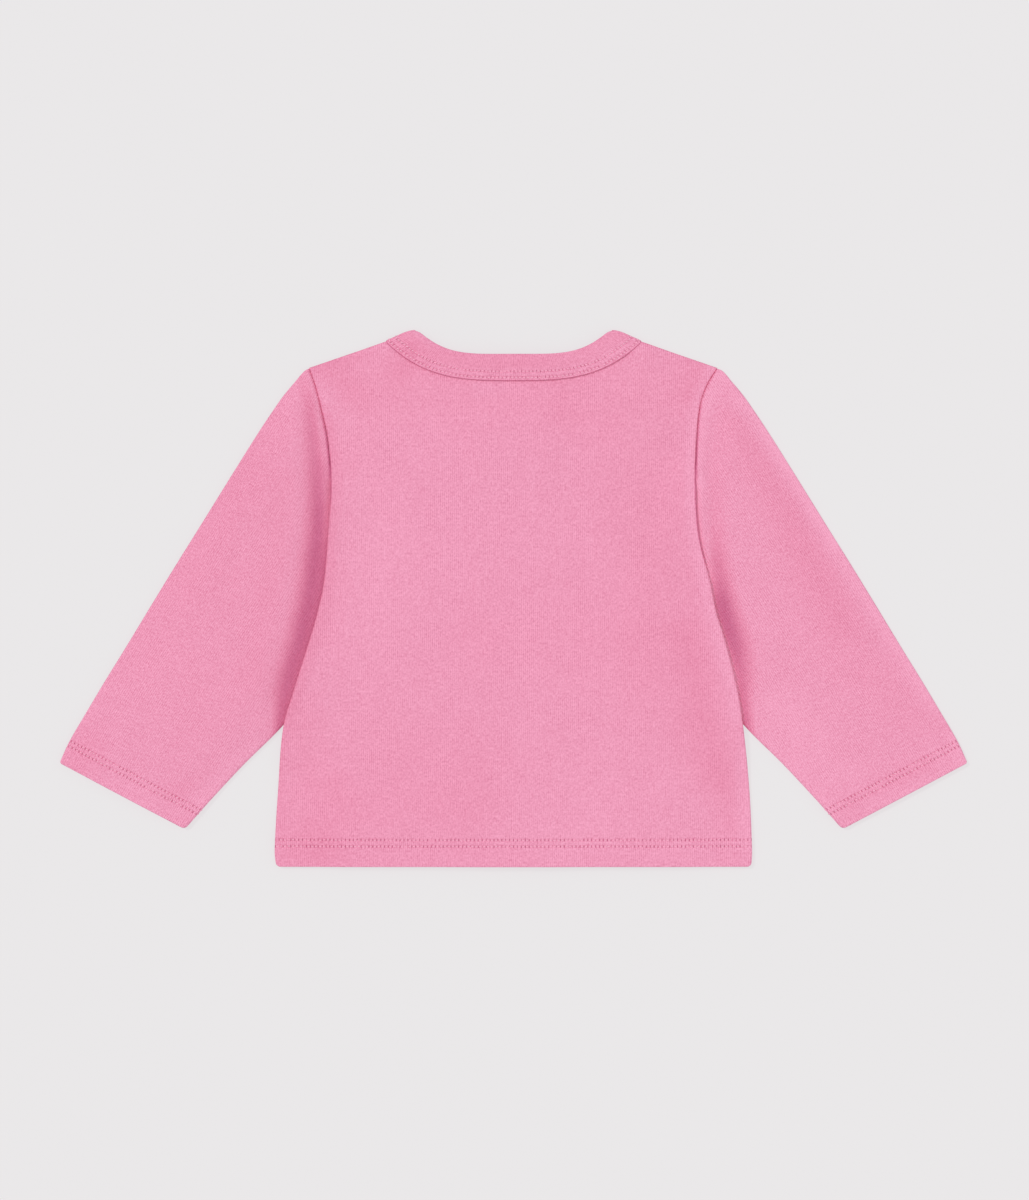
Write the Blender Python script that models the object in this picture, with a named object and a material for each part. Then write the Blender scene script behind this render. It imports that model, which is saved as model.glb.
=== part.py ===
"""Baby cardigan laid out flat, face down: back, two overlapping fronts, two sleeves, neckband, press studs.

Run with: blender --background --python part.py
Lengths are millimetres up to solid(), which makes them Blender's metres.
X runs across the cardigan (the wearer's right is +X), Y from the hem to the neck, and Z up from
the surface that it lies on. Heights of cloth grow from plies stacked with a gap between them.
"""

import bisect
import math

import bpy
from mathutils import Vector

MM = 0.001

# Cloth
CLOTH = 1.1  # wall of the knit
GAP = 0.3  # between plies, and between pieces at a seam
PLY = CLOTH + GAP  # step from one ply to the next
HEM_CLOTH = 1.7  # a turned-up edge, stitched flat
HEM_DEPTH = 14.8
HEM_STEP = 0.3  # run of the step where the turned-up edge ends

# Body
HEM_Y = -142.5
SIDE_COLUMNS = ("height", "left", "right")
SIDES = (
    (-142.5, -126.0, 126.2),
    (-134.0, -126.8, 126.6),
    (-101.5, -125.0, 125.2),
    (-68.0, -122.2, 121.7),
    (-48.0, -116.9, 118.0),
    (-20.0, -108.1, 110.4),
    (8.0, -101.0, 103.6),
    (34.0, -98.5, 97.9),
    (60.0, -96.9, 96.2),
    (84.0, -98.9, 96.6),
    (103.0, -102.6, 99.0),
    (122.4, -108.6, 107.3),
)
SHOULDER_Y = 122.4
NECK_TIP = Vector((67.6, 136.4))  # where neckband, shoulder and fold meet

# Neckband
LIP = 1.0  # the edge of the band that lies over a panel
BAND = PLY + LIP  # the folded strip
PLY_UNDER_LIP = LIP + GAP
BAND_WIDTH = 15.0
LAP = 5.5  # how far the panels reach in under the band's lip
BACK_NECK_Y = 115.2  # band's lower edge at the centre back
BACK_NECK_POWER = 3.2
BACK_BRIM_Y = 130.0  # band's upper edge there
BACK_BRIM_RISE = (0.42, 1.1)  # the upper edge climbs between these parts of the way to the shoulder
FRONT_NECK_Y = 75.0  # band's lower edge at the centre front
NECK_RAMP = (1.24, 1.04)  # the front neckband lifts the cloth between these sizes of its ellipse
FOLD_STEPS = 5

# Front opening
OVERLAP = 10.0  # each front reaches this far past the centre
INNER_RAMP = (-38.0, -14.5)  # the inner front climbs over the outer one between these
STUD_COUNT = 5
STUD_TOP_Y = 60.0
STUD_PITCH = 41.0
STUD_RADIUS = 4.75
STUD_HEIGHT = 0.8
STUD_LIFT = STUD_HEIGHT + GAP
STUD_FLAT = 6.8  # the outer front lies level this far round a press stud
STUD_SLOPE_ACROSS = 7.2
STUD_SLOPE_ALONG = 14.0

# Sleeves: (x, y) along the two folds of the right-hand one, from the armhole to the cuff
OUTER_FOLD = (
    (116.6, 115.2),
    (124.3, 105.2),
    (144.7, 73.4),
    (184.2, 9.8),
    (213.3, -37.9),
    (240.0, -88.2),
)
UNDERARM_FOLD = (
    (74.0, -6.0),
    (98.0, -37.5),
    (122.2, -67.6),
    (143.6, -89.4),
    (160.9, -107.6),
    (173.6, -121.6),
)
HIDDEN_ARMHOLE = ((93.5, 26.0), (86.0, 12.0), (80.0, 2.0))  # its armhole under the body
MOUTH = 2  # the point of UNDERARM_FOLD at which it comes out from under the body
TUCK_TOP = 42.0  # below this height the sleeve slips under the body
TUCK_LEAD = 10.0  # the body starts to rise this far above it
TUCK_LIFT = 2 * PLY  # the body rides on both plies of a sleeve
TUCK_REACH = (36.0, 4.0)  # and comes down between these distances from them

# Loft of the cloth where it is not pressed flat. Each pair is where it is none and where it is full.
BODY_CROWN = 2.6
BODY_CROWN_REACH = (0.0, 45.0)  # from the side
SHOULDER_CROWN_REACH = (0.0, 35.0)  # from the shoulder
HEM_RAMP = 22.0  # turned-up edges lift the cloth beyond them over this
OPENING_RISE = 2.6  # the back over the overlapping fronts
HEM_OPENING_RISE = 0.75  # and as much again over their hems
OPENING_ACROSS = (62.0, 14.0)
OPENING_ALONG = (100.0, 80.0)
BANDS_RISE = 2 * BAND + GAP - CLOTH + 0.1  # the back over the front neckband's crossing ends
BANDS_ACROSS = (46.0, 12.0)
BANDS_BELOW = (40.0, 70.0)
BANDS_ABOVE = (122.0, 92.0)
SLEEVE_CROWN = 3.0
SLEEVE_CROWN_REACH = (0.0, 22.0)
VALLEY = (3.0, 18.0)  # beside the armhole seam
CUFF_FLATTENING = 0.6
CUFF_FLAT_REACH = (40.0, 0.0)
SEAM_FOLLOW_ALONG = (56.0, 72.0)  # the sleeve keeps level with the body at the seam above these
SEAM_FOLLOW_ACROSS = (7.0, 0.0)

PINK = (0.84, 0.33, 0.48, 1.0)
STUD_PINK = (0.80, 0.36, 0.48, 1.0)


def smooth(t):
    t = min(max(t, 0.0), 1.0)
    return t * t * (3 - 2 * t)


def ramp(at, span):
    """0 at the first end of the span, 1 at the second, and smooth between them."""
    none, full = span
    return smooth((at - none) / (full - none))


def merge_heights(*heights):
    """A smooth curve over the highest of the heights."""
    return sum(h**4 for h in heights) ** 0.25


def through(knots, values, at):
    """Value at `at` on a smooth curve through the knots, which rise."""
    k = min(max(bisect.bisect_right(knots, at) - 1, 0), len(knots) - 2)
    run = knots[k + 1] - knots[k]
    t = min(max((at - knots[k]) / run, 0.0), 1.0)

    def slope(i):
        a, b = max(i - 1, 0), min(i + 1, len(knots) - 1)
        return (values[b] - values[a]) / (knots[b] - knots[a])

    return (
        values[k] * (1 + 2 * t) * (1 - t) ** 2
        + values[k + 1] * t * t * (3 - 2 * t)
        + run * t * (1 - t) * (slope(k) * (1 - t) - slope(k + 1) * t)
    )


class Path:
    """A line in plan through points, read by the distance along it."""

    def __init__(self, points):
        self.points = [Vector(p) for p in points]
        self.marks = [0.0]
        for a, b in zip(self.points, self.points[1:]):
            self.marks.append(self.marks[-1] + (b - a).length)
        self.length = self.marks[-1]

    def at(self, distance):
        k = min(max(bisect.bisect_right(self.marks, distance) - 1, 0), len(self.points) - 2)
        t = (distance - self.marks[k]) / (self.marks[k + 1] - self.marks[k])
        return self.points[k].lerp(self.points[k + 1], t)

    def rounded(self, steps=60):
        """The same line with its corners eased into one smooth curve."""
        xs = [p.x for p in self.points]
        ys = [p.y for p in self.points]
        stops = [self.length * k / steps for k in range(steps + 1)]
        return Path([(through(self.marks, xs, s), through(self.marks, ys, s)) for s in stops])


# Plan: outlines


def side_x(side, y):
    """Edge of the body at height y, on the left (-1) or the right (+1)."""
    column = SIDE_COLUMNS.index("right" if side > 0 else "left")
    return through([row[0] for row in SIDES], [row[column] for row in SIDES], y)


def shoulder_frame(side):
    """Tip of the shoulder, the way along it to the neck, and the way out over its fold."""
    tip = Vector((side_x(side, SHOULDER_Y), SHOULDER_Y))
    neck = Vector((side * NECK_TIP.x, NECK_TIP.y))
    along = (neck - tip).normalized()
    out = Vector((-side * along.y, side * along.x))
    if out.y < 0:
        out.negate()
    return tip, along, out


def shoulder_axis(side):
    """The neck end of the shoulder's fold axis, which lies inside the cloth's outer face."""
    out = shoulder_frame(side)[2]
    return Vector((side * NECK_TIP.x, NECK_TIP.y)) - out * (GAP / 2 + CLOTH)


def back_neck(side, across, reach):
    """Back neckline: across is 0 at the centre and 1 at the shoulder, and reach goes into the band."""
    corner = shoulder_axis(side)
    brim = corner + shoulder_frame(side)[1] * BAND_WIDTH
    lower = Vector((corner.x * across, BACK_NECK_Y + (corner.y - BACK_NECK_Y) * across**BACK_NECK_POWER))
    climb = ramp(across, BACK_BRIM_RISE) / ramp(1, BACK_BRIM_RISE)
    upper = Vector((brim.x * across, BACK_BRIM_Y + (brim.y - BACK_BRIM_Y) * climb))
    return lower.lerp(upper, reach / BAND_WIDTH)


def front_neck(side, turn, reach):
    """Front neckline: a quarter of an ellipse, with turn 0 at the shoulder and 1 at the centre.

    Past 1 it runs straight on across the overlap, by one unit of turn for each OVERLAP.
    """
    start = shoulder_axis(side) + shoulder_frame(side)[1] * reach
    low = FRONT_NECK_Y + reach
    if turn > 1:
        return Vector((-side * OVERLAP * (turn - 1), low))
    angle = turn * math.pi / 2
    return Vector((start.x * math.cos(angle), start.y - (start.y - low) * math.sin(angle)))


def tuck_corners(side):
    """The part of a sleeve that lies under the body, as a triangle."""
    top = TUCK_TOP + TUCK_LEAD
    hidden = [Vector((side * x, y)) for x, y in (UNDERARM_FOLD[0], UNDERARM_FOLD[MOUTH])]
    return (Vector((side_x(side, top), top)), *hidden)


def distance_to_triangle(point, corners):
    inside = True
    nearest = math.inf
    centre = sum(corners, Vector((0, 0))) / 3
    for a, b in zip(corners, corners[1:] + corners[:1]):
        edge = b - a
        t = min(max((point - a).dot(edge) / edge.length_squared, 0.0), 1.0)
        nearest = min(nearest, (point - a - edge * t).length)
        inside = inside and edge.cross(point - a) * edge.cross(centre - a) >= 0
    return 0.0 if inside else nearest


# Heights


def tuck_lift(x, y):
    """How far the body is lifted by the sleeve under it."""
    distance = distance_to_triangle(Vector((x, y)), tuck_corners(math.copysign(1, x)))
    return TUCK_LIFT * ramp(distance, TUCK_REACH)


def front_neck_nearness(x, y):
    """1 at the front neckband and inside it, falling to 0 below its lower edge."""
    axis = shoulder_axis(math.copysign(1, x))
    size = math.hypot(x / axis.x, min(y - axis.y, 0) / (axis.y - FRONT_NECK_Y))
    return ramp(size, NECK_RAMP)


def opening_lift(x, y):
    """How far the press studs lift the outer front."""
    below = STUD_TOP_Y - STUD_PITCH * (STUD_COUNT - 1) - STUD_FLAT
    above = STUD_TOP_Y + STUD_FLAT
    along = ramp(y, (below - STUD_SLOPE_ALONG, below)) * ramp(y, (above + STUD_SLOPE_ALONG, above))
    return STUD_LIFT * ramp(abs(x), (STUD_FLAT + STUD_SLOPE_ACROSS, STUD_FLAT)) * along


def outer_front_height(x, y):
    """Underside of the wearer's right front."""
    return merge_heights(tuck_lift(x, y), PLY_UNDER_LIP * front_neck_nearness(x, y), opening_lift(x, y))


def inner_front_height(x, y):
    """Underside of the wearer's left front, which crosses over the other one at the opening."""
    below = HEM_CLOTH if y < HEM_Y + HEM_DEPTH + HEM_STEP else CLOTH
    neck = front_neck_nearness(x, y)
    step = (below + GAP) * (1 - neck) + (BAND + GAP) * neck
    return outer_front_height(x, y) + step * ramp(x, INNER_RAMP)


def back_top(x, y):
    """Outer face of the back panel, the highest of the plies."""
    side = math.copysign(1, x)
    tip, along, _ = shoulder_frame(side)
    from_side = abs(side_x(side, y)) - abs(x)
    from_shoulder = abs((Vector((x, y)) - tip).cross(along))
    crown = BODY_CROWN * ramp(from_side, BODY_CROWN_REACH) * ramp(from_shoulder, SHOULDER_CROWN_REACH)
    hem_top = HEM_Y + HEM_DEPTH
    at_hem = ramp(y, (hem_top + HEM_RAMP, hem_top))
    hem = 2 * (HEM_CLOTH - CLOTH) * at_hem
    fronts = OPENING_RISE + HEM_OPENING_RISE * at_hem
    fronts *= ramp(abs(x), OPENING_ACROSS) * ramp(y, OPENING_ALONG)
    bands = BANDS_RISE * ramp(abs(x), BANDS_ACROSS) * ramp(y, BANDS_BELOW) * ramp(y, BANDS_ABOVE)
    neck = PLY_UNDER_LIP * front_neck_nearness(x, y)
    return CLOTH + PLY + merge_heights(tuck_lift(x, y), crown, hem, fronts, bands, neck)


def sleeve_top(point, side, from_outer, from_under, to_cuff):
    """Outer face of a sleeve's upper ply."""
    from_body = abs(point.x) - abs(side_x(side, point.y))
    crown = SLEEVE_CROWN * ramp(from_outer, SLEEVE_CROWN_REACH) * ramp(from_under, SLEEVE_CROWN_REACH)
    crown *= ramp(from_body, VALLEY) * (1 - CUFF_FLATTENING * ramp(to_cuff, CUFF_FLAT_REACH))
    seam = ramp(point.y, SEAM_FOLLOW_ALONG) * ramp(from_body, SEAM_FOLLOW_ACROSS)
    cuff = 2 * (HEM_CLOTH - CLOTH) * ramp(to_cuff, (HEM_DEPTH + HEM_RAMP, HEM_DEPTH))
    return CLOTH + PLY + merge_heights(crown, seam * tuck_lift(point.x, point.y), cuff)


# Making solids


def cloth_material(name, colour, roughness):
    material = bpy.data.materials.new(name)
    material.use_nodes = True
    shader = material.node_tree.nodes["Principled BSDF"]
    shader.inputs["Base Color"].default_value = colour
    shader.inputs["Roughness"].default_value = roughness
    return material


def solid(name, points, faces, material):
    mesh = bpy.data.meshes.new(name)
    mesh.from_pydata([Vector(p) * MM for p in points], [], faces)
    mesh.materials.append(material)
    obj = bpy.data.objects.new(name, mesh)
    bpy.context.scene.collection.objects.link(obj)
    return obj


def sheet_solid(name, points, tops, bottoms, quads, material):
    """A closed wall of cloth: the quads on its top and under it, with a side along each open edge."""
    count = len(points)
    corners = [(p.x, p.y, z) for p, z in zip(points, tops)]
    corners += [(p.x, p.y, z) for p, z in zip(points, bottoms)]
    edges = {(quad[k], quad[(k + 1) % 4]) for quad in quads for k in range(4)}
    faces = list(quads)
    faces += [tuple(v + count for v in reversed(quad)) for quad in quads]
    faces += [(b, a, a + count, b + count) for a, b in edges if (b, a) not in edges]
    return solid(name, corners, faces, material)


# Panels

EDGE_ROUNDING = ((0.0, 0.85), (0.3, 0.3), (1.0, 0.0))  # distance in and drop, in walls of cloth
HEM_ROUNDING = ((0.0, 0.5), (0.25, 0.15), (0.85, 0.0))
LOWER_ROWS = (HEM_DEPTH, HEM_DEPTH + HEM_STEP, 29.0, 49.0, 70.0, 91.0, 111.0, 131.0, 150.0, 168.0, 184.0)
FAN_START = HEM_Y + LOWER_ROWS[-1]  # above this the rows fan out from the side to the neckline
BACK_FAN = (60.0, 80.0, 100.0)  # heights at the centre back of the fanned rows under the neckline
FRONT_FAN = (57.0, 73.0)  # the same at a front's free edge
BACK_STATIONS = (0.0, 0.13, 0.26, 0.39, 0.51, 0.62, 0.72, 0.81, 0.9, 1.0)  # across, on the back neckline
FRONT_STATIONS = (2.0, 1.5, 1.0, 0.88, 0.76, 0.64, 0.52, 0.4, 0.28, 0.14, 0.0)  # turn, on the front one
CENTRE_COLUMNS = (0.0,)  # distances from the centre back
OPENING_COLUMNS = (34.0, 27.0, 20.4, 16.5, 10.0, 3.5, 0.0)  # distances from a front's free edge
BACK_SPREAD = (0.08, 0.17, 0.28, 0.41, 0.55, 0.7, 0.85)  # parts of the way from the side to those
FRONT_SPREAD = (0.15, 0.32, 0.52, 0.76)


def panel_rows(side, edge_x, fan):
    """(side point, inner point, hem rounding, shoulder rounding) for each row, from hem to shoulder.

    The lower rows are level and end at edge_x. Each fanned row ends at a point of fan, the last
    of which lies on the shoulder's fold axis.
    """
    rows = []
    for up, drop in HEM_ROUNDING + tuple((up, 0.0) for up in LOWER_ROWS):
        y = HEM_Y + up
        rows.append((Vector((side_x(side, y), y)), Vector((edge_x, y)), drop, 0.0))
    fold = GAP / 2 + CLOTH
    for k, inner in enumerate(fan, 1):
        y = FAN_START + (SHOULDER_Y - fold - FAN_START) * k / len(fan)
        rows.append((Vector((side_x(side, y), y)), inner, 0.0, 0.0))
    out = shoulder_frame(side)[2]
    for inset, drop in reversed(EDGE_ROUNDING[:-1]):
        y = SHOULDER_Y - inset * CLOTH
        inner = fan[-1] + out * (fold - inset * CLOTH)
        rows.append((Vector((side_x(side, y), y)), inner, 0.0, drop * CLOTH))
    return rows


def row_columns(length, spread, inner_columns):
    """(distance from the side, rounding) across a row."""
    columns = [(d * CLOTH, drop * CLOTH) for d, drop in EDGE_ROUNDING]
    free = length - CLOTH - inner_columns[0]
    columns += [(CLOTH + free * part, 0.0) for part in spread]
    columns += [(length - d, 0.0) for d in inner_columns]
    return columns


def half_panel(rows, spread, inner_columns):
    """Plan points of a half panel, row by row, with the hem's and the edges' rounding at each."""
    grid = []
    for outer, inner, hem_drop, shoulder_drop in rows:
        length = (inner - outer).length
        grid.append(
            [
                (outer.lerp(inner, d / length), hem_drop, max(drop, shoulder_drop))
                for d, drop in row_columns(length, spread, inner_columns)
            ]
        )
    return grid


def grid_quads(grid, side, index):
    quads = []
    for r in range(len(grid) - 1):
        for c in range(len(grid[r]) - 1):
            quad = (index(r, c), index(r, c + 1), index(r + 1, c + 1), index(r + 1, c))
            quads.append(quad if side < 0 else quad[::-1])
    return quads


def wall_at(y):
    return HEM_CLOTH if y < HEM_Y + HEM_DEPTH + HEM_STEP / 2 else CLOTH


def make_back(material):
    points, tops, bottoms, quads = [], [], [], []
    seen = {}
    for side in (-1, 1):
        fan = [Vector((0.0, y)) for y in BACK_FAN] + [back_neck(side, k, LAP) for k in BACK_STATIONS]
        grid = half_panel(panel_rows(side, 0.0, fan), BACK_SPREAD, CENTRE_COLUMNS)

        def index(r, c):
            p, hem_drop, drop = grid[r][c]
            centre = abs(p.x) < GAP / 2
            key = ("centre", r) if centre else (side, r, c)
            if key not in seen:
                seen[key] = len(points)
                points.append(p)
                top = back_top(p.x if p.x else side * 1e-9, p.y)
                tops.append(top - max(hem_drop, drop))
                bottoms.append(top - wall_at(p.y) + hem_drop)
            return seen[key]

        quads += grid_quads(grid, side, index)
    return sheet_solid("back_panel", points, tops, bottoms, quads, material)


def make_front(side, name, underside, material):
    edge_x = -side * OVERLAP
    fan = [Vector((edge_x, y)) for y in FRONT_FAN] + [front_neck(side, k, LAP) for k in FRONT_STATIONS]
    grid = half_panel(panel_rows(side, edge_x, fan), FRONT_SPREAD, OPENING_COLUMNS)
    width = len(grid[0])
    points, tops, bottoms = [], [], []
    for row in grid:
        for p, hem_drop, drop in row:
            z = underside(p.x, p.y)
            points.append(p)
            tops.append(z + wall_at(p.y) - hem_drop)
            bottoms.append(z + max(hem_drop, drop))
    quads = grid_quads(grid, side, lambda r, c: r * width + c)
    return sheet_solid(name, points, tops, bottoms, quads, material)


# Sleeves

SLEEVE_STATIONS = (0.0, 0.04, 0.1, 0.19, 0.3, 0.42, 0.55, 0.68, 0.81)
RING_POINTS = (0.27, 0.56, 0.8, 0.91, 1.0)  # from the outer fold to the point nearest the body
BARE_RING_END = 0.86  # where that point lies on a ring clear of the body
RING_SAMPLES = 24
BODY_CLEARANCE = 2.5
ARMHOLE_TOP = SHOULDER_Y - 0.4
ARMHOLE_STEPS = 8
MOUTH_ROUNDING = 0.35
NOSE = ((1.0, 0.0), (0.3, 0.15), (0.0, 0.5), (0.3, 0.85), (1.0, 1.0))  # (distance in, height) at a fold


def armhole_edge(side):
    """Sleeve's edge at the armhole: along the body's edge, then hidden under the body to the armpit."""
    step = (ARMHOLE_TOP - TUCK_TOP) / ARMHOLE_STEPS
    stops = [ARMHOLE_TOP - step * k for k in range(ARMHOLE_STEPS + 1)]
    seam = [(side_x(side, y) + side * GAP * 1.2, y) for y in stops]
    hidden = [(side * x, y) for x, y in HIDDEN_ARMHOLE + UNDERARM_FOLD[:1]]
    return Path(seam + hidden).rounded()


def sleeve_plan(side):
    """A function giving the plan point at (along, across) of a sleeve, each from 0 to 1."""
    armhole = armhole_edge(side)
    outer = Path([armhole.at(0)] + [(side * x, y) for x, y in OUTER_FOLD]).rounded()
    under = Path([(side * x, y) for x, y in UNDERARM_FOLD]).rounded()
    cuff = Path([outer.at(outer.length), under.at(under.length)])

    def point(along, across):
        ruled = outer.at(outer.length * along).lerp(under.at(under.length * along), across)
        ends = armhole.at(armhole.length * across).lerp(cuff.at(cuff.length * across), along)
        start = outer.at(0).lerp(under.at(0), across)
        stop = outer.at(outer.length).lerp(under.at(under.length), across)
        return ruled + ends - start.lerp(stop, along)

    return point, min(outer.length, under.length)


def sleeve_stops(side, line):
    """Where a ring has its points: close together on the slope down to the body's edge."""
    last = line.length * BARE_RING_END
    distance = 0.0
    while distance < last:
        distance += GAP
        p = line.at(distance)
        if abs(p.x) < abs(side_x(side, p.y)) + BODY_CLEARANCE and p.y < TUCK_TOP + TUCK_LEAD:
            break
    nearest = min(distance, last)
    return [nearest * share for share in RING_POINTS] + [(nearest + line.length) / 2]


def sleeve_ring(side, point, along, to_cuff, wall, rounding):
    """Outer and inner loops of the tube's section at one station."""
    line = Path([point(along, k / RING_SAMPLES) for k in range(RING_SAMPLES + 1)])
    flat = CLOTH + GAP / 2

    def top_at(distance):
        return sleeve_top(line.at(distance), side, distance, line.length - distance, to_cuff)

    stops = sleeve_stops(side, line)
    outer, inner = [], []
    for distance in stops:
        p = line.at(distance)
        outer.append((p.x, p.y, rounding))
        inner.append((p.x, p.y, wall))
    for far in (True, False):
        for inset, up in NOSE if far else reversed(NOSE):
            for loop, depth in ((outer, 0.0), (inner, wall)):
                radius = flat if depth == 0 else max(flat - wall, GAP / 3)
                near = inset * radius + depth
                distance = line.length - near if far else near
                p = line.at(distance)
                top = top_at(distance)
                low = rounding if depth == 0 else wall
                high = top - low
                loop.append((p.x, p.y, low + (high - low) * up))
        if far:
            for distance in reversed(stops):
                p = line.at(distance)
                top = top_at(distance)
                outer.append((p.x, p.y, top - rounding))
                inner.append((p.x, p.y, top - wall))
    return outer, inner


def make_sleeve(side, name, material):
    point, length = sleeve_plan(side)
    hem_at = 1 - HEM_DEPTH / length
    stations = [(s, CLOTH, 0.0) for s in SLEEVE_STATIONS if s < hem_at - 0.02]
    stations[0] = (0.0, CLOTH, MOUTH_ROUNDING)
    stations += [(hem_at - HEM_STEP / length, CLOTH, 0.0), (hem_at, HEM_CLOTH, 0.0)]
    stations += [(1 - d / length, HEM_CLOTH, drop) for d, drop in reversed(HEM_ROUNDING)]
    loops = [sleeve_ring(side, point, s, (1 - s) * length, wall, cut) for s, wall, cut in stations]
    count = len(loops[0][0])
    points, faces = [], []
    for outer, inner in loops:
        points += outer + inner
    for r in range(len(loops) - 1):
        for k in range(count):
            a, b = r * 2 * count + k, r * 2 * count + (k + 1) % count
            faces.append((a, b, b + 2 * count, a + 2 * count))
            faces.append((a + count, a + 3 * count, b + 3 * count, b + count))
    last = (len(loops) - 1) * 2 * count
    for k in range(count):
        a, b = k, (k + 1) % count
        faces.append((a, a + count, b + count, b))
        faces.append((last + a, last + b, last + b + count, last + a + count))
    if side > 0:
        faces = [face[::-1] for face in faces]
    return solid(name, points, faces, material)


# Neckband

# (reach into the band, height) round its section: the lip's edge, the folded top, and back under
BAND_SECTION = (
    (0.0, PLY),
    (0.0, BAND - 0.3),
    (0.5, BAND),
    (5.0, BAND),
    (BAND_WIDTH - 1.2, BAND),
    (BAND_WIDTH - 0.35, BAND - 0.4),
    (BAND_WIDTH, BAND / 2),
    (BAND_WIDTH - 0.35, 0.4),
    (BAND_WIDTH - 1.2, 0.0),
    (LAP + 0.6, 0.0),
    (LAP + 0.6, PLY),
)


def band_back_ring(side, across):
    """A ring of the band over the back panel."""
    ring = []
    lower = back_neck(side, across, 0.0)
    lapped = back_neck(side, across, LAP)
    base = [back_top(p.x if p.x else 1e-9, p.y) - CLOTH for p in (lower, lapped)]
    for reach, up in BAND_SECTION:
        p = back_neck(side, across, reach)
        z = base[0] + (base[1] - base[0]) * min(reach / LAP, 1.0) + up
        ring.append((p.x, p.y, z))
    return ring


def band_front_ring(side, turn, underside):
    """A ring of the band under a front panel, which lies face down."""
    ring = []
    ends = (front_neck(side, turn, 0.0), front_neck(side, turn, LAP))
    base = [underside(p.x, p.y) + CLOTH for p in ends]
    for reach, up in BAND_SECTION:
        p = front_neck(side, turn, reach)
        z = base[0] + (base[1] - base[0]) * min(reach / LAP, 1.0) - up
        ring.append((p.x, p.y, z))
    return ring


def band_fold_ring(side, angle, axis_height):
    """A ring of the band on its way round the shoulder's fold."""
    _, along, out = shoulder_frame(side)
    corner = shoulder_axis(side)
    ring = []
    for reach, up in BAND_SECTION:
        radius = GAP / 2 + up
        p = corner + along * reach + out * radius * math.sin(angle)
        ring.append((p.x, p.y, axis_height + radius * math.cos(angle)))
    return ring


def make_neckband(material):
    axis_height = PLY_UNDER_LIP + CLOTH + GAP / 2
    fold = [math.pi * k / (FOLD_STEPS + 1) for k in range(FOLD_STEPS + 2)]
    rings = []
    for side, underside in ((-1, inner_front_height), (1, outer_front_height)):
        arm = [band_back_ring(side, across) for across in BACK_STATIONS[:-1]]
        arm += [band_fold_ring(side, angle, axis_height) for angle in fold]
        arm += [band_front_ring(side, turn, underside) for turn in reversed(FRONT_STATIONS[:-1])]
        rings = arm[:0:-1] + [arm[0]] if side < 0 else rings + arm[1:]
    count = len(BAND_SECTION)
    points = [p for ring in rings for p in ring]
    faces = []
    for r in range(len(rings) - 1):
        for k in range(count):
            a, b = r * count + k, r * count + (k + 1) % count
            faces.append((a, a + count, b + count, b))
    last = (len(rings) - 1) * count
    faces.append(tuple(range(count)))
    faces.append(tuple(last + k for k in reversed(range(count))))
    return solid("neckband", points, faces, material)


def make_stud(number, material):
    """Cap of a press stud, lying on its face under the outer front."""
    y = STUD_TOP_Y - STUD_PITCH * (number - 1)
    bpy.ops.mesh.primitive_cylinder_add(
        vertices=16,
        radius=STUD_RADIUS * MM,
        depth=STUD_HEIGHT * MM,
        location=(0.0, y * MM, STUD_HEIGHT / 2 * MM),
    )
    stud = bpy.context.object
    stud.name = f"stud_{number}"
    stud.data.materials.append(material)
    rim = stud.modifiers.new("rim", "BEVEL")
    rim.width = STUD_HEIGHT * 0.3 * MM
    rim.segments = 1
    rim.limit_method = "ANGLE"
    return stud


def main():
    for obj in list(bpy.data.objects):
        bpy.data.objects.remove(obj, do_unlink=True)
    knit = cloth_material("pink_knit", PINK, 0.9)
    rib = cloth_material("pink_band", PINK, 0.9)
    plastic = cloth_material("stud_plastic", STUD_PINK, 0.35)
    make_back(knit)
    make_front(-1, "front_panel_left", inner_front_height, knit)
    make_front(1, "front_panel_right", outer_front_height, knit)
    make_sleeve(-1, "sleeve_left", knit)
    make_sleeve(1, "sleeve_right", knit)
    make_neckband(rib)
    for number in range(1, STUD_COUNT + 1):
        make_stud(number, plastic)


main()
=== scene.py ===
"""Baby cardigan laid out face down: knitted cloth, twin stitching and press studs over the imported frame.

The cloth is worked out in millimetres, in the frame's own axes: X across the cardigan, Y from the
hem to the neck, and Z up from the surface that it lies on. join_up() makes it Blender's metres.
A value that goes by side has -1 for the left and 1 for the right. A span is two places, the one
where something is none and the one where it is full.
"""

import math

import bpy
import numpy as np
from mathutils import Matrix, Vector


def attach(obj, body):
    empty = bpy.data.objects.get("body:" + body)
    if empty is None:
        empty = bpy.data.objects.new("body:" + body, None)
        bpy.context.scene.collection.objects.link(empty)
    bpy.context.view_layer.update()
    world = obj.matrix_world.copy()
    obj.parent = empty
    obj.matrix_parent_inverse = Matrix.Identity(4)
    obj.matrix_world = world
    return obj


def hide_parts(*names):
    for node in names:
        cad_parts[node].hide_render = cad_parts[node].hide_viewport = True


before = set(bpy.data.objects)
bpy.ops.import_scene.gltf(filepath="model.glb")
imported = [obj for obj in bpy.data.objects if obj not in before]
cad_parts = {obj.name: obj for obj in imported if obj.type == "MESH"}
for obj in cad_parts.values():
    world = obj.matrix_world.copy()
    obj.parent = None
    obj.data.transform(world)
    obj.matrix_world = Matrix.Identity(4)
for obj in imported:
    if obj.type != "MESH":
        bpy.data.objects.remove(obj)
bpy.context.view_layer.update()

bl_info = {
    "name": "Baby cardigan, laid flat",
    "version": (1, 0, 0),
    "blender": (4, 5, 0),
    "location": "3D View > Sidebar > Cardigan",
    "description": "Knitted cloth, stitching and press studs of a baby cardigan that lies face down",
    "category": "Add Mesh",
}

MM = 0.001
FAR = 400.0  # a distance past every edge, for cloth that an edge doesn't reach

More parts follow.
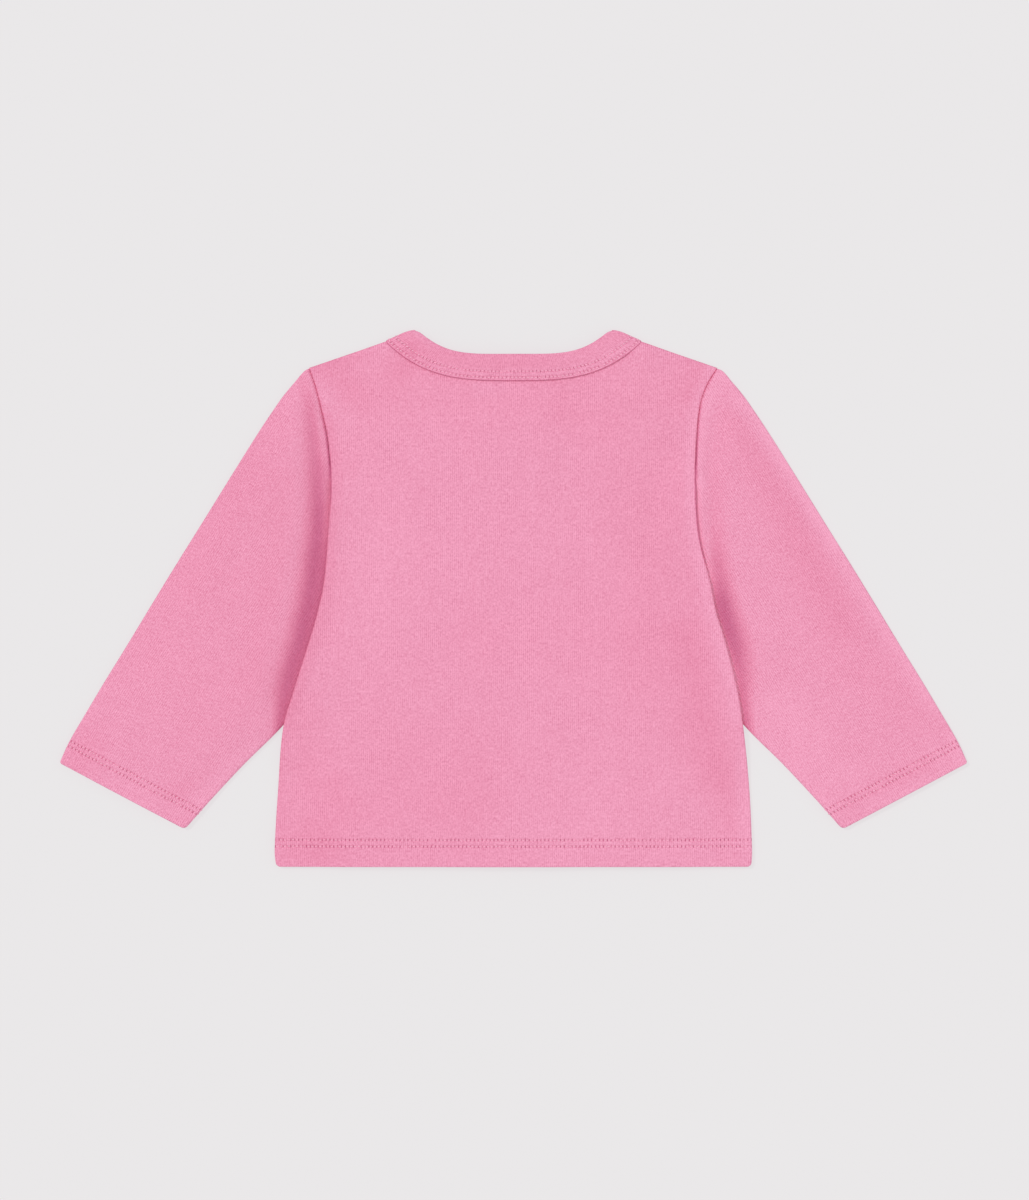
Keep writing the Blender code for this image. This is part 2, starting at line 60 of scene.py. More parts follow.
# Cloth
CLOTH = 1.1
GAP = 0.3
PLY = CLOTH + GAP
HEM_CLOTH = 1.7
HEM_DEPTH = 14.8
HEM_STEP = 0.5  # the turned-up cloth ends over this
HEM_RISE = 2 * (HEM_CLOTH - CLOTH)  # of both plies
FOLD = CLOTH + GAP / 2  # radius of the fold where two plies meet, and its height
SEAM_THINNING = 1.2  # the wall thins to THINNEST over this at a seam
THINNEST = 0.03  # as a share of the wall, and its least thickness
UNDER_DRAWN = 0.7  # share of a stitching channel that shows on the underside

# Body
HEM_Y = -142.3
SIDES = (  # height, and how far the left and the right edge are from the middle
    (-142.3, 126, 126.2), (-134, 126.8, 126.6), (-101.5, 125, 125.2), (-68, 122, 121.7),
    (-48, 116.3, 118.6), (-20, 107.5, 111.5), (-8, 104.1, 107.7), (8, 100.6, 104.4), (34, 98.3, 98.3),
    (60, 96.9, 96.6), (84, 98.6, 97.2), (103, 102.7, 99.2), (113, 105.3, 102.6), (122.4, 108.6, 108.2),
)
HEM_CORNER = 2.2
SHOULDER_Y = 122.4
NECK_TIP = (67.6, 136.4)

# Neckband
LIP = 1.0
BAND = PLY + LIP
BAND_WIDTH = 15.0
# Painted shade on the neckband
BAND_SHADE = (0.04, 0.17)  # at the stitching, and over the brim
BAND_SHADE_REACH = (5.6, 7.4)
LAP = 5.5
BACK_NECK_Y = 115.2
BACK_NECK_POWER = 3.2
BACK_BRIM_Y = 130.0
BACK_BRIM_RISE = (0.42, 1.1)
BRIM = (
    (0, 129.6), (15, 129.6), (22, 129.9), (29, 130.8), (35, 132.4), (41, 135.1), (46, 138.3),
    (48.4, 140.2), (50, 141.3),
)
BRIM_TIP = (52, 142)  # where the brim meets the fold over the shoulder
BRIM_ROUNDING = 8.0
FRONT_NECK_Y = 75.0
NECK_RAMP = (1.24, 1.04)

# Front opening
OVERLAP = 10.0
INNER_RAMP = (-38.0, -14.5)
STUD_COUNT = 5
STUD_TOP_Y = 60.0
STUD_PITCH = 41.0
STUD_HEIGHT = 0.8
STUD_LIFT = STUD_HEIGHT + GAP
STUD_FLAT = 6.8
STUD_SLOPE_ACROSS = 7.2
STUD_SLOPE_ALONG = 14.0
STUD_RINGS = ((0.7, 0), (0.3, -0.22), (0.4, 0), (0.5, 0.16), (1.1, 0.06))  # from the rim: how far in, and up
STUD_RIM = 0.22
STUD_CORNERS = 40
RIM_ANGLE = 50
SMOOTH_ANGLE = 40

# Sleeves: (x, y) along the folds of the right-hand one
OUTER_FOLD = (
    (110.8, 121), (116, 115), (121.5, 108.5), (126.1, 102.1), (134.6, 89.4), (146.7, 70.2),
    (165.3, 40.2), (184.2, 9.8), (206.4, -26.8), (217.2, -44.3), (228.3, -63), (236, -76.4),
    (240.9, -87.2),
)
UNDERARM_FOLD = ((74, -6), (98, -37.5), (122.2, -67.2), (143.6, -88.6), (161, -107.3), (174.4, -122.4))
HIDDEN_ARMHOLE = ((93.5, 26), (86, 12), (80, 2))
MOUTH = 2
WALES_ALONG = (4, -3)  # the outer fold's points that the wales are parallel to
TUCK_TOP = 42.0
TUCK_LEAD = 10.0
TUCK_LIFT = 2 * PLY
TUCK_REACH = (36.0, 4.0)
CUFF_CORNERS = (1.2, 2.0)  # at the outer fold, and at the underarm fold
CUFF_EASE = 8.0  # past the turned-up edge, where the lines across the sleeve leave the cuff's direction
MOUTH_EASE = 16.0  # before the armhole, where they have all of the outer fold's extra length
ARMHOLE_TOP = SHOULDER_Y - 0.4
UNDER_BODY = 3.0
UNDER_BODY_BELOW = (72.0, 58.0)

# Loft: heights, and the spans over which they come
BODY_CROWN = 2.6
BODY_CROWN_REACH = (0.0, 45.0)
SHOULDER_CROWN_REACH = (0.0, 35.0)
HEM_RAMP = 22.0
OPENING_RISE = 2.6
HEM_OPENING_RISE = 0.75
OPENING_ACROSS = (62.0, 14.0)
OPENING_ALONG = (100.0, 80.0)
BANDS_RISE = 2 * BAND + GAP - CLOTH + 0.1
BANDS_ACROSS = (46.0, 12.0)
BANDS_BELOW = (40.0, 70.0)
BANDS_ABOVE = (122.0, 92.0)
SLEEVE_CROWN = {-1: 4.2, 1: 3.0}
SLEEVE_CROWN_REACH = 24.0
SLEEVE_ROUNDNESS = 0.45  # share of a round fold in the sleeve's rise from its folds
CUFF_FLATTENING = 0.55
CUFF_FLAT_REACH = (45.0, 0.0)
SEAM_FOLLOW_ALONG = (56.0, 72.0)
SEAM_FOLLOW_ACROSS = (7.0, 0.0)
MOUTH_FOLLOW = (9.0, 0.0)

# Creases and waves are full past these, measured in from each edge. A wave: height, length and seed.
SOFT_AT = {"side": (0, 14), "shoulder": (0, 12), "hem": (0, 30), "fold": (0, 12), "cuff": (0, 25)}
WAVES = {"back": ((0.14, 38, 1), (0.06, 17, 2)), "sleeve": ((0.14, 31, 4), (0.06, 14, 6))}
HEM_WAVE = (0.16, 13, 3)
HEM_WAVE_BELOW = (0.0, 3.0)
HEM_WAVE_ABOVE = (26.0, 12.0)

# Trough of each sleeve beside the body. Each row: the height, how far the trough is from the middle,
# how far the cloth takes to rise from it, how deep its shade is, and the shade between it and the
# seam, and the height of the roll beside the seam.
TROUGH_ROW = ("height", "place", "rise", "shade", "inside", "roll")
TROUGHS = {
    -1: (
        (122, 114, 5, 0, 0, 0.2), (105, 109.3, 5.5, 0.36, 0, 1), (95, 107.9, 6.5, 0.5, 0, 1.1),
        (84, 106.6, 8, 0.56, 0.1, 1.2), (63, 104.8, 9.5, 0.74, 0.4, 0.9),
        (42, 104.2, 10, 0.93, 0.5, 0.4), (20, 106.2, 11, 0.97, 0.86, 0),
        (9, 107.5, 11.5, 0.98, 0.9, 0), (-1, 109, 12, 0.98, 0.9, 0),
        (-11, 111.3, 12, 0.98, 0.88, 0), (-22, 113.8, 12, 0.97, 0.86, 0),
        (-43, 120.2, 10.5, 0.92, 0.78, 0), (-54, 122.2, 8.5, 0.85, 0.7, 0),
        (-66, 124.5, 5, 0.8, 0.64, 0),
    ),
    1: (
        (122, 114, 8, 0, 0, 0.2), (105, 110, 8, 0, 0, 0.6), (95, 108.8, 8, 0, 0, 0.7),
        (84, 107.8, 8, 0, 0, 0.8), (63, 107.2, 7, 0.06, 0, 1.2), (42, 107.6, 7, 0.12, 0, 1.4),
        (20, 108.6, 8.5, 0.5, 0.05, 1), (9, 110.6, 9, 0.68, 0.34, 0.4),
        (-1, 112, 10, 0.95, 0.8, 0.1), (-11, 114, 11.8, 1, 0.9, 0), (-22, 117, 12.6, 0.96, 0.74, 0),
        (-43, 121.4, 8.8, 0.67, 0.12, 0), (-54, 121.8, 7, 0.68, 0.15, 0),
        (-66, 124, 5.5, 0.72, 0.3, 0),
    ),
}
TROUGH_INSIDE = -4.5  # the sleeve's crown starts from here, on the body's side of the trough
TROUGH_SPREAD = 1.35  # and is full a millimetre past this many times the trough's rise
ROLL_LEAN = {-1: 1.0, 1: 0.62}  # below 1 the roll leans towards the seam
ROLL_LEAST = 0.5

# Where the body's edge lies on the sleeves it rises: how far in, and from and to which heights
EDGE_RISE = {-1: 1.1, 1: 0.45}
EDGE_RISE_REACH = (8.5, 0.0)
EDGE_RISE_ABOVE = (-74.0, -58.0)
EDGE_RISE_BELOW = {-1: (96.0, 20.0), 1: (34.0, 0.0)}

# Shade of a sleeve beside the body, and of the armhole's seam
SHADE_CREEP = 0.08  # share of the trough's rise by which the shade's full depth goes inwards
SHADE_POWER = 1.15
SHADE_INSIDE = (-5.5, -1.5)
SEAM_SHADE = 0.95
SEAM_SHADE_REACH = {-1: (1.7, 0.45), 1: (1.25, 0.2)}  # on the sleeve's side
SEAM_SHADE_ABOVE = (58.0, 67.0)
RIGHT_SEAM_ABOVE = (10.0, 34.0)
SEAM_FAINTER = 0.75  # by this share, towards the shoulder
SEAM_FAINT_ABOVE = (80.0, 108.0)
FRONT_SEAM_SHADE = 0.35

# Painted shade along the seam on the body's side: its depth, how it changes with height, and where it fades
# out
SEAM_LINE = 0.35
SEAM_LINE_REACH = (1.0, 0.1)
SEAM_LINE_FAINTER = 0.4
SEAM_LINE_FAINT_ABOVE = (95.0, 115.0)
SEAM_LINE_DEEPER = 0.85
SEAM_LINE_DEEP_BELOW = (78.0, 69.0)
SEAM_LINE_END = {-1: (44.0, 58.0), 1: (12.0, 26.0)}
ARMHOLE_FOOT = (-68.0, -60.0)

# Painted highlight on both sides of the right armhole's seam, which makes them paler: by how much, where and
# how wide
SEAM_HIGHLIGHT = 0.15
SEAM_PALE_ON_BODY = 2.5
SEAM_PALE_ON_SLEEVE = 4.0
SEAM_PALE_REACH = 3.4
SEAM_PALE_ABOVE = (-10.0, 10.0)
SEAM_PALER = 2.0  # times more on the sleeve, between these
SEAM_PALER_BELOW = (68.0, 56.0)
SEAM_PALER_ABOVE = (0.0, 12.0)

# Painted light on the right sleeve, where the body's edge shades it: how much paler, how far out, how wide,
# and where
BESIDE_PAINTED_LIGHT = 0.7
BESIDE_PLACE = 0.4
BESIDE_WIDTH = 0.7
BESIDE_ABOVE = (-68.0, -58.0)
BESIDE_BELOW = (64.0, 50.0)

# Painted shade, deeper towards the body's left edge
LEFT_EDGE_SHADE = 0.2
LEFT_EDGE_REACH = (9.0, 0.0)
LEFT_EDGE_ABOVE = (-74.0, -58.0)
LEFT_EDGE_BELOW = (112.0, 90.0)

# Soft patches of painted shade, or of painted light below zero. Each row: the two ends of a line,
# the half width about it, and the depth.
SHADE_PATCHES = {
    "back": (
        ((76, -36), (76, 60), 26, 0.1), ((-80, 110), (88, 112), 19, 0.08),
        ((-60, 122), (-54, 128), 7, 0.2), ((98, 120), (94, 108), 7, 0.12),
        ((-18, 112), (-8, 113), 6, -0.1), ((-110, -137), (110, -137), 8, 0.05),
        ((-98, 124), (-87, 110), 8, 0.12), ((-116, -134), (-100, -132), 12, 0.16),
        ((-90, 70), (-94, 74), 8, 0.06), ((-62, -86), (-25, -92), 24, 0.06),
        ((-75, -114), (-20, -112), 14, 0.07), ((-114, -62), (-106, -118), 12, 0.11),
        ((-92, 10), (-100, -20), 9, 0.06), ((92, -20), (109, -92), 10, 0.2),
        ((112, -100), (116, -118), 8, 0.08), ((-15, -22), (60, -18), 18, 0.05),
        ((28, 98), (48, 90), 12, 0.07), ((-92, 98), (-98, 106), 8, -0.08),
        ((-72, 30), (-68, -12), 16, -0.07), ((122, -86), (125, -130), 5, -0.14),
        ((24, -126), (34, -122), 16, -0.06), ((-104, 123), (-84, 130), 5, 0.12),
        ((90, -66), (98, -88), 10, 0.08), ((-94, -98), (-90, -114), 10, 0.1),
        ((-124, -76), (-126, -118), 4, 0.12), ((30, -134), (100, -134), 8, -0.08),
    ),
    "sleeve": (
        ((-186, -20), (-160, -50), 34, 0.07), ((-126, 92), (-176, 10), 15, 0.08),
        ((-122, 60), (-136, -40), 11, 0.1), ((-140, 60), (-150, 0), 18, 0.05),
        ((-226, -80), (-232, -88), 9, 0.12), ((-206, -98), (-180, -112), 7, -0.04),
        ((-138, -80), (-166, -106), 6, -0.12), ((124, 92), (172, -10), 13, 0.18),
        ((180, -34), (212, -56), 15, 0.06), ((140, -58), (168, -96), 14, -0.13),
        ((120, 106), (224, -56), 5, -0.24), ((124, 105), (172, 28), 2.5, -0.2),
        ((236, -72), (240, -87), 6, -0.2), ((136, -80), (168, -112), 5, -0.12),
        ((178, -108), (220, -88), 5, 0.07), ((188, -110), (238, -90), 3, -0.1),
        ((-99, 65), (-101, 71), 4, 0.24), ((-178, -104), (-158, -92), 6, 0.08),
        ((109, 120), (113, 116), 4, -0.12),
    ),
    "band": (
        ((-64, 132), (-54, 130), 6, 0.2), ((-50, 141), (-44, 137), 4, -0.2),
        ((26, 124), (56, 134), 6, -0.1),
    ),
}

# Soft creases, in the same rows: the last value is the height, below zero for a hollow. The sleeves'
# are at the right-hand one, and mirrored.
CREASES = {
    "back": (
        ((-70, -60), (-20, 60), 26, 0.35), ((78, -40), (84, 70), 20, -0.9),
        ((40, -110), (90, -70), 16, -0.3), ((-95, -100), (-60, -80), 18, -0.3),
        ((-40, 96), (-85, 108), 10, -0.35), ((52, 98), (86, 104), 9, -0.3),
    ),
    "sleeve": (
        ((150, 20), (190, -20), 14, -0.4), ((130, 60), (160, 30), 12, 0.3),
        ((165, -70), (205, -60), 12, -0.35),
    ),
}

# Stitching: distances of the twin rows from each finished edge
HEM_ROWS = (10.9, 14.4)
CUFF_ROWS = (10.2, 13.3)
BAND_ROWS = (1.9, 5.2)
OPENING_ROWS = (16.5, 19.8)
OPENING_ROWS_END = (FRONT_NECK_Y, FRONT_NECK_Y - 4)

# Stage. Broad lamps: name, strength, how wide it is in degrees, and the way its light goes
LIGHTS = (
    ("key", 1.05, 11.0, (0.66, -0.44, -1.0)),
    ("fill", 0.66, 110.0, (-0.7, 0.35, -1.0)),
)
LAMP_COLOUR = (1.0, 0.99, 0.985)
SKY_COLOUR = (1.0, 0.995, 0.99, 1.0)
FLOOR_SIZE = 20.0
FLOOR_HEIGHT = -0.0001
CAMERA_PLACE = (0.0005, -0.0008)
SENSOR_WIDTH = 36.0


def smooth(t):
    t = np.clip(t, 0.0, 1.0)
    return t * t * (3 - 2 * t)


def ramp(at, span):
    """0 at the first end of the span, 1 at the second, and smooth between them."""
    none, full = span
    return smooth((at - none) / (full - none))


def bell(at, width):
    """1 at zero, falling away on both sides."""
    return np.exp(-((at / width) ** 2))


def merge_heights(*heights):
    """A smooth curve over the highest of the heights."""
    return sum(np.abs(h) ** 4 for h in heights) ** 0.25


def nearest_index(values, at):
    return int(np.argmin(np.abs(values - at)))


def through(knots, values, at):
    """Values at `at` on a smooth curve through the knots."""
    if knots[0] > knots[-1]:
        knots, values = knots[::-1], values[::-1]
    slopes = np.empty_like(values)
    slopes[1:-1] = (values[2:] - values[:-2]) / (knots[2:] - knots[:-2])
    slopes[0] = (values[1] - values[0]) / (knots[1] - knots[0])
    slopes[-1] = (values[-1] - values[-2]) / (knots[-1] - knots[-2])
    k = np.clip(np.searchsorted(knots, at, side="right") - 1, 0, len(knots) - 2)
    run = knots[k + 1] - knots[k]
    t = np.clip((at - knots[k]) / run, 0.0, 1.0)
    ends = values[k] * (1 + 2 * t) * (1 - t) ** 2 + values[k + 1] * t * t * (3 - 2 * t)
    return ends + run * t * (1 - t) * (slopes[k] * (1 - t) - slopes[k + 1] * t)


RIPPLES = ((0.3, 1.0, 0.4), (1.4, 0.73, 0.35), (2.5, 1.31, 0.25))  # heading, how close together, share


def ripple(x, y, length, seed):
    """Uneven waves from -1 to 1, about `length` from crest to crest."""
    turn = 2 * math.pi / length
    total = 0.0
    for k, (way, stretch, share) in enumerate(RIPPLES):
        heading = way + seed * 0.7
        along = x * math.cos(heading) + y * math.sin(heading)
        total = total + share * np.sin(turn * stretch * along + seed * (k + 1) * 1.9)
    return total


class Line:
    """A line in plan through points, read by the distance along it."""

    def __init__(self, points):
        self.points = np.asarray(points, float)
        steps = np.linalg.norm(np.diff(self.points, axis=0), axis=1)
        self.marks = np.concatenate([[0.0], np.cumsum(steps)])
        self.length = self.marks[-1]

    def at(self, distance):
        return np.stack([np.interp(distance, self.marks, values) for values in self.points.T], -1)

    def rounded(self, steps=160):
        """The same line with its corners eased into one smooth curve."""
        stops = np.linspace(0.0, self.length, steps + 1)
        return Line(np.stack([through(self.marks, values, stops) for values in self.points.T], -1))


# Plan: outlines


def on_side(side, points):
    """Points of the right-hand side, mirrored for the left."""
    return np.asarray(points, float) * (side, 1)


def side_x(side, y):
    """Edge of the body at height y, on the left (-1) or the right (+1)."""
    heights, left, right = np.transpose(SIDES)
    return side * through(heights, right if side > 0 else left, y)


def shoulder_frame(side):
    """Tip of the shoulder, the way along it to the neck, and the way out over its fold."""
    tip = np.array([side_x(side, SHOULDER_Y), SHOULDER_Y])
    along = on_side(side, NECK_TIP) - tip
    along /= np.linalg.norm(along)
    out = np.array([-side * along[1], side * along[0]])
    return tip, along, out if out[1] > 0 else -out


def shoulder_axis(side):
    """The neck end of the shoulder's fold axis."""
    return on_side(side, NECK_TIP) - shoulder_frame(side)[2] * FOLD


def back_neck(side, across, reach):
    """Back neckline: across is 0 at the centre and 1 at the shoulder, and reach goes into the band."""
    across = np.asarray(across, float)
    corner = shoulder_axis(side)
    brim = corner + shoulder_frame(side)[1] * BAND_WIDTH
    rise = across**BACK_NECK_POWER
    lower = np.stack([corner[0] * across, BACK_NECK_Y + (corner[1] - BACK_NECK_Y) * rise], -1)
    climb = ramp(across, BACK_BRIM_RISE) / ramp(1.0, BACK_BRIM_RISE)
    upper = np.stack([brim[0] * across, BACK_BRIM_Y + (brim[1] - BACK_BRIM_Y) * climb], -1)
    share = np.asarray(reach / BAND_WIDTH)[..., None]
    return lower + (upper - lower) * share


def front_neck(side, turn, reach):
    """Front neckline: turn is 0 at the shoulder, 1 at the centre and 2 at the end of the overlap."""
    turn, reach = np.broadcast_arrays(np.asarray(turn, float), np.asarray(reach, float))
    start = shoulder_axis(side) + shoulder_frame(side)[1] * reach[..., None]
    low = FRONT_NECK_Y + reach
    angle = np.minimum(turn, 1.0) * math.pi / 2
    x = start[..., 0] * np.cos(angle) - side * OVERLAP * np.maximum(turn - 1, 0.0)
    return np.stack([x, start[..., 1] - (start[..., 1] - low) * np.sin(angle)], -1)


def from_line(x, y, start, stop):
    """Distance of each place from a straight line between two points."""
    edge = np.subtract(stop, start)
    dx, dy = x - start[0], y - start[1]
    t = np.clip((dx * edge[0] + dy * edge[1]) / (edge @ edge), 0.0, 1.0)
    return np.hypot(dx - edge[0] * t, dy - edge[1] * t)


def distance_to_tuck(side, x, y):
    """Distance from the part of a sleeve that lies under the body, a triangle in plan."""
    top = TUCK_TOP + TUCK_LEAD
    corners = [np.array([side_x(side, top), top]), *(on_side(side, UNDERARM_FOLD[k]) for k in (0, MOUTH))]
    centre = sum(corners) / 3
    inside = np.ones(np.shape(x), bool)
    nearest = np.full(np.shape(x), np.inf)
    for a, b in zip(corners, corners[1:] + corners[:1]):
        nearest = np.minimum(nearest, from_line(x, y, a, b))
        edge = b - a
        within = edge[0] * (centre[1] - a[1]) - edge[1] * (centre[0] - a[0])
        inside &= (edge[0] * (y - a[1]) - edge[1] * (x - a[0])) * within >= 0
    return np.where(inside, 0.0, nearest)


# Heights


def tuck_lift(side, x, y):
    return TUCK_LIFT * ramp(distance_to_tuck(side, x, y), TUCK_REACH)


def front_neck_nearness(side, x, y):
    """1 at the front neckband and inside it, falling to 0 below its lower edge."""
    axis = shoulder_axis(side)
    return ramp(np.hypot(x / axis[0], np.minimum(y - axis[1], 0.0) / (axis[1] - FRONT_NECK_Y)), NECK_RAMP)


def opening_lift(x, y):
    """How far the press studs lift the outer front."""
    below = STUD_TOP_Y - STUD_PITCH * (STUD_COUNT - 1) - STUD_FLAT
    above = STUD_TOP_Y + STUD_FLAT
    along = ramp(y, (below - STUD_SLOPE_ALONG, below)) * ramp(y, (above + STUD_SLOPE_ALONG, above))
    return STUD_LIFT * ramp(np.abs(x), (STUD_FLAT + STUD_SLOPE_ACROSS, STUD_FLAT)) * along


def outer_front_height(side, x, y):
    """Underside of the wearer's right front."""
    neck = (LIP + GAP) * front_neck_nearness(side, x, y)
    return merge_heights(tuck_lift(side, x, y), neck, opening_lift(x, y))


def inner_front_height(side, x, y):
    """Underside of the wearer's left front, which crosses over the other one at the opening."""
    neck = front_neck_nearness(side, x, y)
    step = (wall_at(y - HEM_Y) + GAP) * (1 - neck) + (BAND + GAP) * neck
    return outer_front_height(side, x, y) + step * ramp(x, INNER_RAMP)


def wall_at(from_hem):
    """Thickness of the cloth, which is turned up and stitched down at a hem or cuff."""
    return CLOTH + (HEM_CLOTH - CLOTH) * ramp(from_hem, (HEM_DEPTH + HEM_STEP, HEM_DEPTH))


def along_lines(lines, x, y):
    """Sum of soft lines, each strongest along it and fading over its half width."""
    total = np.zeros(np.shape(x))
    for start, stop, width, height in lines:
        total = total + height * bell(from_line(x, y, start, stop), width)
    return total


def waves(piece, x, y, shift=0):
    """Long and short waves of the laid cloth; shift sets those of like pieces apart."""
    return sum(height * ripple(x, y, length, seed + shift) for height, length, seed in WAVES[piece])


def seam_level(side, x, y):
    """Height at which the back and a front, or the two plies of a sleeve, are sewn together."""
    return outer_front_height(side, x, y) + wall_at(y - HEM_Y) + GAP / 2


def back_height(side, x, y):
    """Outer face of the back panel."""
    tip, along, _ = shoulder_frame(side)
    up = y - HEM_Y
    from_side = np.abs(side_x(side, y)) - np.abs(x)
    from_shoulder = np.abs((x - tip[0]) * along[1] - (y - tip[1]) * along[0])
    crown = BODY_CROWN * ramp(from_side, BODY_CROWN_REACH) * ramp(from_shoulder, SHOULDER_CROWN_REACH)
    at_hem = ramp(up, (HEM_DEPTH + HEM_RAMP, HEM_DEPTH))
    opening = ramp(np.abs(x), OPENING_ACROSS) * ramp(y, OPENING_ALONG)
    fronts = (OPENING_RISE + HEM_OPENING_RISE * at_hem) * opening
    bands = BANDS_RISE * ramp(np.abs(x), BANDS_ACROSS) * ramp(y, BANDS_BELOW) * ramp(y, BANDS_ABOVE)
    neck = (LIP + GAP) * front_neck_nearness(side, x, y)
    base = CLOTH + PLY + merge_heights(tuck_lift(side, x, y), crown, HEM_RISE * at_hem, fronts, bands, neck)
    inner = ramp(from_side, SOFT_AT["side"]) * ramp(from_shoulder, SOFT_AT["shoulder"])
    inner = inner * ramp(up, SOFT_AT["hem"])
    lifted = ramp(from_side, EDGE_RISE_REACH) * ramp(y, EDGE_RISE_ABOVE) * ramp(y, EDGE_RISE_BELOW[side])
    height, length, seed = HEM_WAVE
    wave = height * ripple(x, 0.0 * y, length, seed) * ramp(up, HEM_WAVE_BELOW) * ramp(up, HEM_WAVE_ABOVE)
    soft = along_lines(CREASES["back"], x, y) + waves("back", x, y)
    return base + EDGE_RISE[side] * lifted + soft * inner + wave


def trough(side, y, what):
    """The place of a sleeve's trough at height y, or another value of its rows."""
    rows = dict(zip(TROUGH_ROW, np.transpose(TROUGHS[side])))
    value = np.maximum(through(rows["height"], rows[what], y), 0.0)
    return side * value if what == "place" else value


def fold_rise(distance):
    """Rise of a sleeve from its fold, soft at first and then round."""
    t = np.clip(distance / SLEEVE_CROWN_REACH, 0.0, 1.0)
    return (1 - SLEEVE_ROUNDNESS) * smooth(t) + SLEEVE_ROUNDNESS * np.sqrt(1 - (1 - t) ** 2)


def sleeve_height(side, x, y, from_outer, from_under, to_cuff):
    """Outer face of a sleeve's upper ply."""
    from_body = np.abs(x) - np.abs(side_x(side, y))
    place = trough(side, y, "place")
    beside = ramp(side * (x - place), (TROUGH_INSIDE, TROUGH_SPREAD * trough(side, y, "rise") + 1.0))
    crown = SLEEVE_CROWN[side] * fold_rise(from_outer) * fold_rise(from_under) * beside
    crown = crown * (1 - CUFF_FLATTENING * ramp(to_cuff, CUFF_FLAT_REACH))
    gap = np.maximum(np.abs(place) - np.abs(side_x(side, y)), ROLL_LEAST)
    roll = np.sin(np.pi * np.clip(from_body / gap, 0.0, 1.0) ** ROLL_LEAN[side]) ** 2
    seam = ramp(y, SEAM_FOLLOW_ALONG) * ramp(from_body, SEAM_FOLLOW_ACROSS) * tuck_lift(side, x, y)
    cuff = HEM_RISE * ramp(to_cuff, (HEM_DEPTH + HEM_RAMP, HEM_DEPTH))
    inner = ramp(from_outer, SOFT_AT["fold"]) * ramp(from_under, SOFT_AT["fold"])
    inner = inner * ramp(to_cuff, SOFT_AT["cuff"])
    soft = along_lines(CREASES["sleeve"], np.abs(x), y) + waves("sleeve", x, y, side)
    soft = soft * inner * beside
    return CLOTH + PLY + merge_heights(crown, seam, cuff) + trough(side, y, "roll") * roll + soft


def seam_shade_strength(side, y):
    """Strength of the painted shade in the armhole's seam, 1 at its middle and less towards its ends."""
    below = ramp(y, RIGHT_SEAM_ABOVE) if side > 0 else 1.0
    return below * (1 - SEAM_FAINTER * ramp(y, SEAM_FAINT_ABOVE))


def sleeve_shade(side, x, y):
    """How deep in shade the cloth of a sleeve lies, beside the body."""
    away = side * (x - trough(side, y, "place"))
    reach = trough(side, y, "rise")
    deep = trough(side, y, "shade")
    inside = trough(side, y, "inside")
    outward = deep * ramp(away, (reach, -SHADE_CREEP * reach)) ** SHADE_POWER
    inward = inside + (deep - inside) * ramp(away, SHADE_INSIDE)
    return np.where(away > 0, outward, inward)


# Making meshes


def join_up(name, points, faces, corner_maps, fields=None):
    """A mesh object from millimetre points and faces, with a UV map for each of corner_maps.

    fields hold a value for each point, by attribute name.
    """
    points = np.array(points, float)
    points[:, 2] = np.maximum(points[:, 2], 0.0)  # nothing sinks into the floor
    mesh = bpy.data.meshes.new(name)
    mesh.from_pydata([tuple(p) for p in points * MM], [], [tuple(f) for f in faces])
    for key, values in corner_maps.items():
        layer = mesh.uv_layers.new(name=key)
        layer.data.foreach_set("uv", (np.asarray(values, np.float32) * MM).ravel())
    for key, values in (fields or {}).items():
        mesh.attributes.new(key, "FLOAT", "POINT").data.foreach_set("value", np.asarray(values, np.float32))
    mesh.shade_smooth()
    obj = bpy.data.objects.new(name, mesh)
    bpy.context.scene.collection.objects.link(obj)
    return obj


def cloth_shell(name, outer, inner, quads, corner_maps, fields):
    """A closed wall of cloth from its outer and inner faces, with a side along each open edge.

    quads index the points of either face; corner_maps hold a value for each corner of each quad.
    """
    outer, inner = outer.reshape(-1, 3), inner.reshape(-1, 3)
    count = len(outer)
    starts = quads.ravel()
    stops = np.roll(quads, -1, axis=1).ravel()
    edges = list(zip(starts.tolist(), stops.tolist()))
    twins = set(edges)
    corner = np.array([k for k, (a, b) in enumerate(edges) if (b, a) not in twins])
    after = corner // 4 * 4 + (corner % 4 + 1) % 4
    a, b = starts[corner], stops[corner]
    faces = np.concatenate([quads, quads[:, ::-1] + count, np.stack([b, a, a + count, b + count], -1)])
    maps = {}
    for key, values in corner_maps.items():
        sides = values.reshape(-1, 2)[np.stack([after, corner, corner, after], 1)]
        maps[key] = np.concatenate([values, values[:, ::-1], sides])
    points = np.concatenate([outer, inner])
    fields = {key: np.concatenate([each.ravel()] * 2) for key, each in fields.items()}
    return join_up(name, points, faces, maps, fields)


def corner_map(corners, u, v):
    """A UV map: u and v over a grid of points, at each corner of the faces."""
    return np.stack(np.broadcast_arrays(u, v), -1).reshape(-1, 2)[corners]


def grid_faces(rows, columns, flip):
    r, c = np.meshgrid(np.arange(rows - 1), np.arange(columns - 1), indexing="ij")
    a = (r * columns + c).ravel()
    quads = np.stack([a, a + 1, a + columns + 1, a + columns], -1)
    return quads[:, ::-1] if flip else quads


def tube_faces(rows, columns):
    """Corners on a grid whose last column comes back to the first, and the points that they share."""
    corners = grid_faces(rows, columns + 1, flip=False)
    return corners, corners // (columns + 1) * columns + corners % (columns + 1) % columns


def corner_inset(distance, radius):
    """How far a rounded corner draws the edge in, at a distance from the other edge."""
    return radius - np.sqrt(np.clip(radius**2 - np.clip(radius - distance, 0.0, radius) ** 2, 0.0, None))


def curl(distance, radius=FOLD):
    """Share of the way down to the seam, 1 at the edge of the cloth and 0 a radius in from it."""
    t = np.clip(distance / radius, 0.0, 1.0)
    return 1 - np.sqrt(np.clip(1 - (1 - t) ** 2, 0.0, 1.0))


